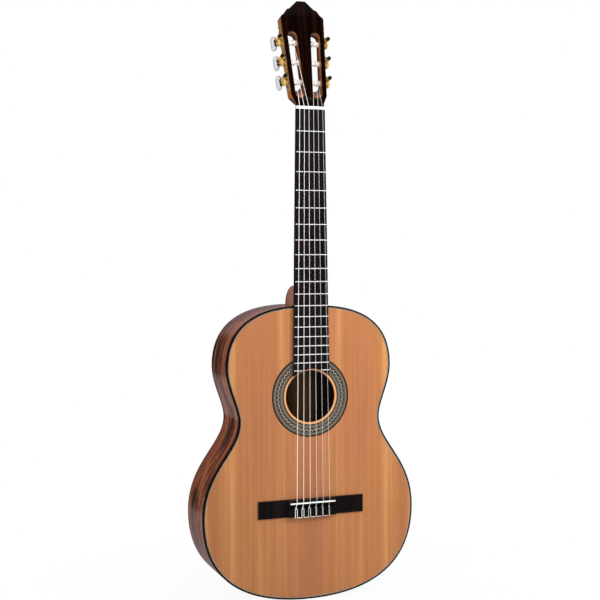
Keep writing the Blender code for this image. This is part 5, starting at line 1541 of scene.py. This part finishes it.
def string_tie(index, radius):
    """Points of the knot on the tie block, from the hole's rear mouth to the tucked-away end."""
    x = string_x(index, TIE_LOW)
    top = -TIE_TOP - radius
    rear, front = TIE_LOW, TIE_HIGH
    wound = index < WOUND_STRINGS
    spread = 1.75 * MM if wound else 0.75 * MM
    apex_z = front + 3.6 * MM
    rise = (SADDLE_TOP - STRING_HOLE_HEIGHT) / (SADDLE_Z - front)
    apex_y = -STRING_HOLE_HEIGHT - rise * (apex_z - front) - 2 * radius
    apex = [(x - spread * 0.55, apex_y + 0.5 * MM, apex_z - 1.5 * MM), (x, apex_y, apex_z),
            (x + spread * 0.55, apex_y + 0.5 * MM, apex_z - 1.5 * MM)]
    strands = [(x, -STRING_HOLE_HEIGHT, rear - 0.9 * MM),
               (x - spread * 0.5, -STRING_HOLE_HEIGHT - 1.6 * MM, rear - 1.3 * MM),
               (x - spread, top + 0.7 * MM, rear - 0.5 * MM),
               (x - spread, top, rear + 0.8 * MM)]
    if wound:
        strands += [(x - spread, top, rear + 6 * MM), (x - spread, top, front - 1.2 * MM)]
        strands += apex
        strands += [(x + spread, top, front - 1.2 * MM), (x + spread, top, rear + 6 * MM)]
    else:
        strands += coil(x, top, -spread, radius, range(1, 13)) + apex
        strands += coil(x, top, spread, radius, range(11, 1, -1))
    reach = 1 if index < 5 else -1
    strands += [(x + spread, top, rear + 0.8 * MM),
                (x + spread + 0.3 * MM * reach, top + 0.8 * MM, rear - 0.55 * MM),
                (x + spread + 1.4 * MM * reach, top + 1.1 * MM, rear - 0.95 * MM),
                (x + spread + 4.0 * MM * reach, top + 1.0 * MM, rear - 0.8 * MM),
                (x + spread + 8.2 * MM * reach, top + 0.9 * MM, rear - 0.8 * MM)]
    return strands


def make_strings():
    """Each string from its knot over saddle and nut to its roller, and its turns on the roller."""
    to_body = BODY.inverted()
    routes = [("bass_1", 0.36), ("bass_2", 0.52), ("bass_3", 0.62),
              ("treble_3", 0.62), ("treble_2", 0.52), ("treble_1", 0.36)]
    for index, radius in enumerate(STRING_RADII):
        machine, share = routes[index]
        place = TUNERS[machine]
        side = place["side"]
        x_local = -side * (MECHANISM_OFFSET + HEAD_RIM_WIDTH + SLOT_WIDTH * share)
        wrap = ROLLER_RADIUS + radius
        touch = to_body @ place["matrix"] @ Vector((x_local, -wrap, 0))
        x_saddle, x_nut = string_x(index, SADDLE_Z), string_x(index, NUT_Z)
        main = [Vector((string_x(index, TIE_LOW), -STRING_HOLE_HEIGHT, TIE_HIGH + 0.4 * MM)),
                Vector((x_saddle, -SADDLE_TOP - radius * 0.6, SADDLE_Z - 0.7 * MM)),
                Vector((x_saddle, -SADDLE_TOP - radius * 0.9, SADDLE_Z + 0.5 * MM)),
                Vector((x_nut, -NUT_TOP - radius * 0.35, NUT_Z + 0.4 * MM)),
                Vector((x_nut, -NUT_TOP - radius * 0.2, NUT_Z + 2.6 * MM)), touch]
        path = smooth_path(string_tie(index, radius), 5)[::-1] + main
        look = "wound_string" if index < WOUND_STRINGS else "nylon"
        name = STRING_NAMES[index]
        add_piece("string_run_" + name, tube(path, radius), look,
                  stands_for=["string_" + name], smooth=60)
        outward = side if index in (0, 1, 4, 5) else -side
        helix = []
        for step in range(int(TURNS_ON_ROLLER * 20) + 1):
            angle = math.tau * step / 20
            grow = wrap if angle > 0.3 else wrap + 0.02 * MM
            helix.append(Vector((x_local + outward * 2.15 * radius * angle / math.tau,
                                 -grow * math.cos(angle), grow * math.sin(angle))))
        add_piece("string_turns_" + name, tube(helix, radius, 8), look, place["matrix"],
                  "roller_" + machine, smooth=60)


# --- build ------------------------------------------------------------------------------------
make_soundboard()
make_rosette()
make_bindings()
make_sides()
make_back()
make_end_graft()
keep_inner_nodes()
make_bridge()
make_saddle()
make_nut()
make_fingerboard()
make_frets()
make_neck()
make_head_veneer()
make_heel_cap()
make_tuners()
make_strings()


# --- stage, light and camera ------------------------------------------------------------------
def make_floor():
    size = 30.0
    corners = [(-size, -size, 0), (size, -size, 0), (size, size, 0), (-size, size, 0)]
    mesh = bpy.data.meshes.new("floor")
    mesh.from_pydata(corners, [], [(0, 1, 2, 3)])
    floor = bpy.data.objects.new("floor", mesh)
    floor.location = (0, 0, cad_low.z - 0.5 * MM)
    floor.visible_glossy = False
    bpy.context.scene.collection.objects.link(floor)
    look = Look("studio_floor")
    speck = look.noise(look.place(), (3, 3, 3), 2, 0.5)
    colour = look.ramp(speck, [(0.3, (0.86, 0.86, 0.86)), (0.7, (0.90, 0.90, 0.90))])
    diffuse = look.add("BsdfDiffuse", {"Color": colour})
    glow = look.add("Emission", {"Color": (1.0, 1.0, 1.0), "Strength": 1.0})
    seen = look.add("LightPath", output="Is Camera Ray")
    x, y = look.split(look.place())[:2]
    shown = look.math("ADD", 0.91, look.math("MULTIPLY", look.length(x, y), 0.18), clamp=True)
    share = look.math("MULTIPLY", seen, shown)
    mesh.materials.append(look.surface(look.add("MixShader", {0: share, 1: diffuse, 2: glow})))


def make_world():
    """White for the camera; polished faces reflect a wall behind, a ceiling and a strip in front."""
    look = Look("studio", "worlds")
    bpy.context.scene.world = look.material
    x, y, z = look.split(look.add("TexCoord", output="Generated"))
    beside = look.fade(x, -0.21, -0.15)
    below = look.math("MULTIPLY", look.fade(z, -0.16, -0.20), look.fade(z, -0.75, -0.20, low=0.35))
    wall = look.math("MULTIPLY", look.math("MAXIMUM", beside, below), look.math("GREATER_THAN", y, 0.0))
    wall = look.math("MULTIPLY", wall, 0.21)
    overhead = look.fade(z, 0.67, 0.80, high=1.6)
    strip = look.math("MULTIPLY", look.fade(x, -0.30, -0.42), look.fade(x, -0.80, -0.70))
    strip = look.math("MULTIPLY", strip, look.math("LESS_THAN", y, 0.0))
    strip = look.math("MULTIPLY", strip, 1.5)
    reflected = look.math("MAXIMUM", look.math("MAXIMUM", wall, overhead), strip)
    reflected = look.math("ADD", reflected, 0.014)
    glossy = look.add("LightPath", output="Is Glossy Ray")
    camera = look.add("LightPath", output="Is Camera Ray")
    strength = look.add("Mix", {0: glossy, 2: 0.44, 3: reflected}, data_type="FLOAT")
    strength = look.add("Mix", {0: camera, 2: strength, 3: 1.0}, data_type="FLOAT")
    tint = look.mix(wall, (1.0, 1.0, 1.0), (1.0, 0.0, 0.1))
    colour = look.mix(glossy, (1.0, 1.0, 1.0), tint)
    look.surface(look.add("Background", {"Color": colour, "Strength": strength}), "OutputWorld")


def add_light(name, place, aim, size, power):
    data = bpy.data.lights.new(name, "AREA")
    data.shape = "RECTANGLE"
    data.size, data.size_y = size
    data.energy = power
    light = bpy.data.objects.new(name, data)
    light.location = place
    light.rotation_mode = "QUATERNION"
    light.rotation_quaternion = (Vector(aim) - Vector(place)).to_track_quat("-Z", "Y")
    light.visible_glossy = False
    light.visible_camera = False
    bpy.context.scene.collection.objects.link(light)


CAMERA_TURN = 0.3529      # radians to the bass side
CAMERA_DROP = 0.0329      # radians below the level
CAMERA_ROLL = -0.0041     # radians
CAMERA_DISTANCE = 1.9093
CAMERA_LENS = 68.9        # mm, on a 36 mm sensor


def make_camera():
    centre = (cad_low + cad_high) / 2
    aim = Vector((-0.0180, FACE_Y, centre.z + 0.0002))
    turn, drop, roll, distance = CAMERA_TURN, CAMERA_DROP, CAMERA_ROLL, CAMERA_DISTANCE
    forward = Vector((math.sin(turn) * math.cos(drop), math.cos(turn) * math.cos(drop),
                      -math.sin(drop)))
    right = Vector((math.cos(turn), -math.sin(turn), 0))
    up = right.cross(forward)
    level_right = right * math.cos(roll) + up * math.sin(roll)
    level_up = up * math.cos(roll) - right * math.sin(roll)
    matrix = Matrix((level_right, level_up, -forward)).transposed().to_4x4()
    matrix.translation = aim - forward * distance
    data = bpy.data.cameras.new("camera")
    data.lens = CAMERA_LENS
    data.sensor_width = 36.0
    data.clip_start, data.clip_end = 0.05, 100.0
    camera = bpy.data.objects.new("camera", data)
    camera.matrix_world = matrix
    bpy.context.scene.collection.objects.link(camera)
    bpy.context.scene.camera = camera


make_floor()
make_world()
add_light("key", (0.75, -1.05, 1.28), (0.0, 0.0, 0.38), (0.5, 0.7), 19.5)
add_light("fill", (-1.6, -2.6, 1.3), (0.0, 0.0, 0.5), (1.6, 1.8), 32)
add_light("rim", (-1.4, 1.4, 1.9), (0.0, 0.0, 0.6), (0.8, 1.2), 16)
make_camera()
bpy.context.scene.view_settings.view_transform = "Standard"
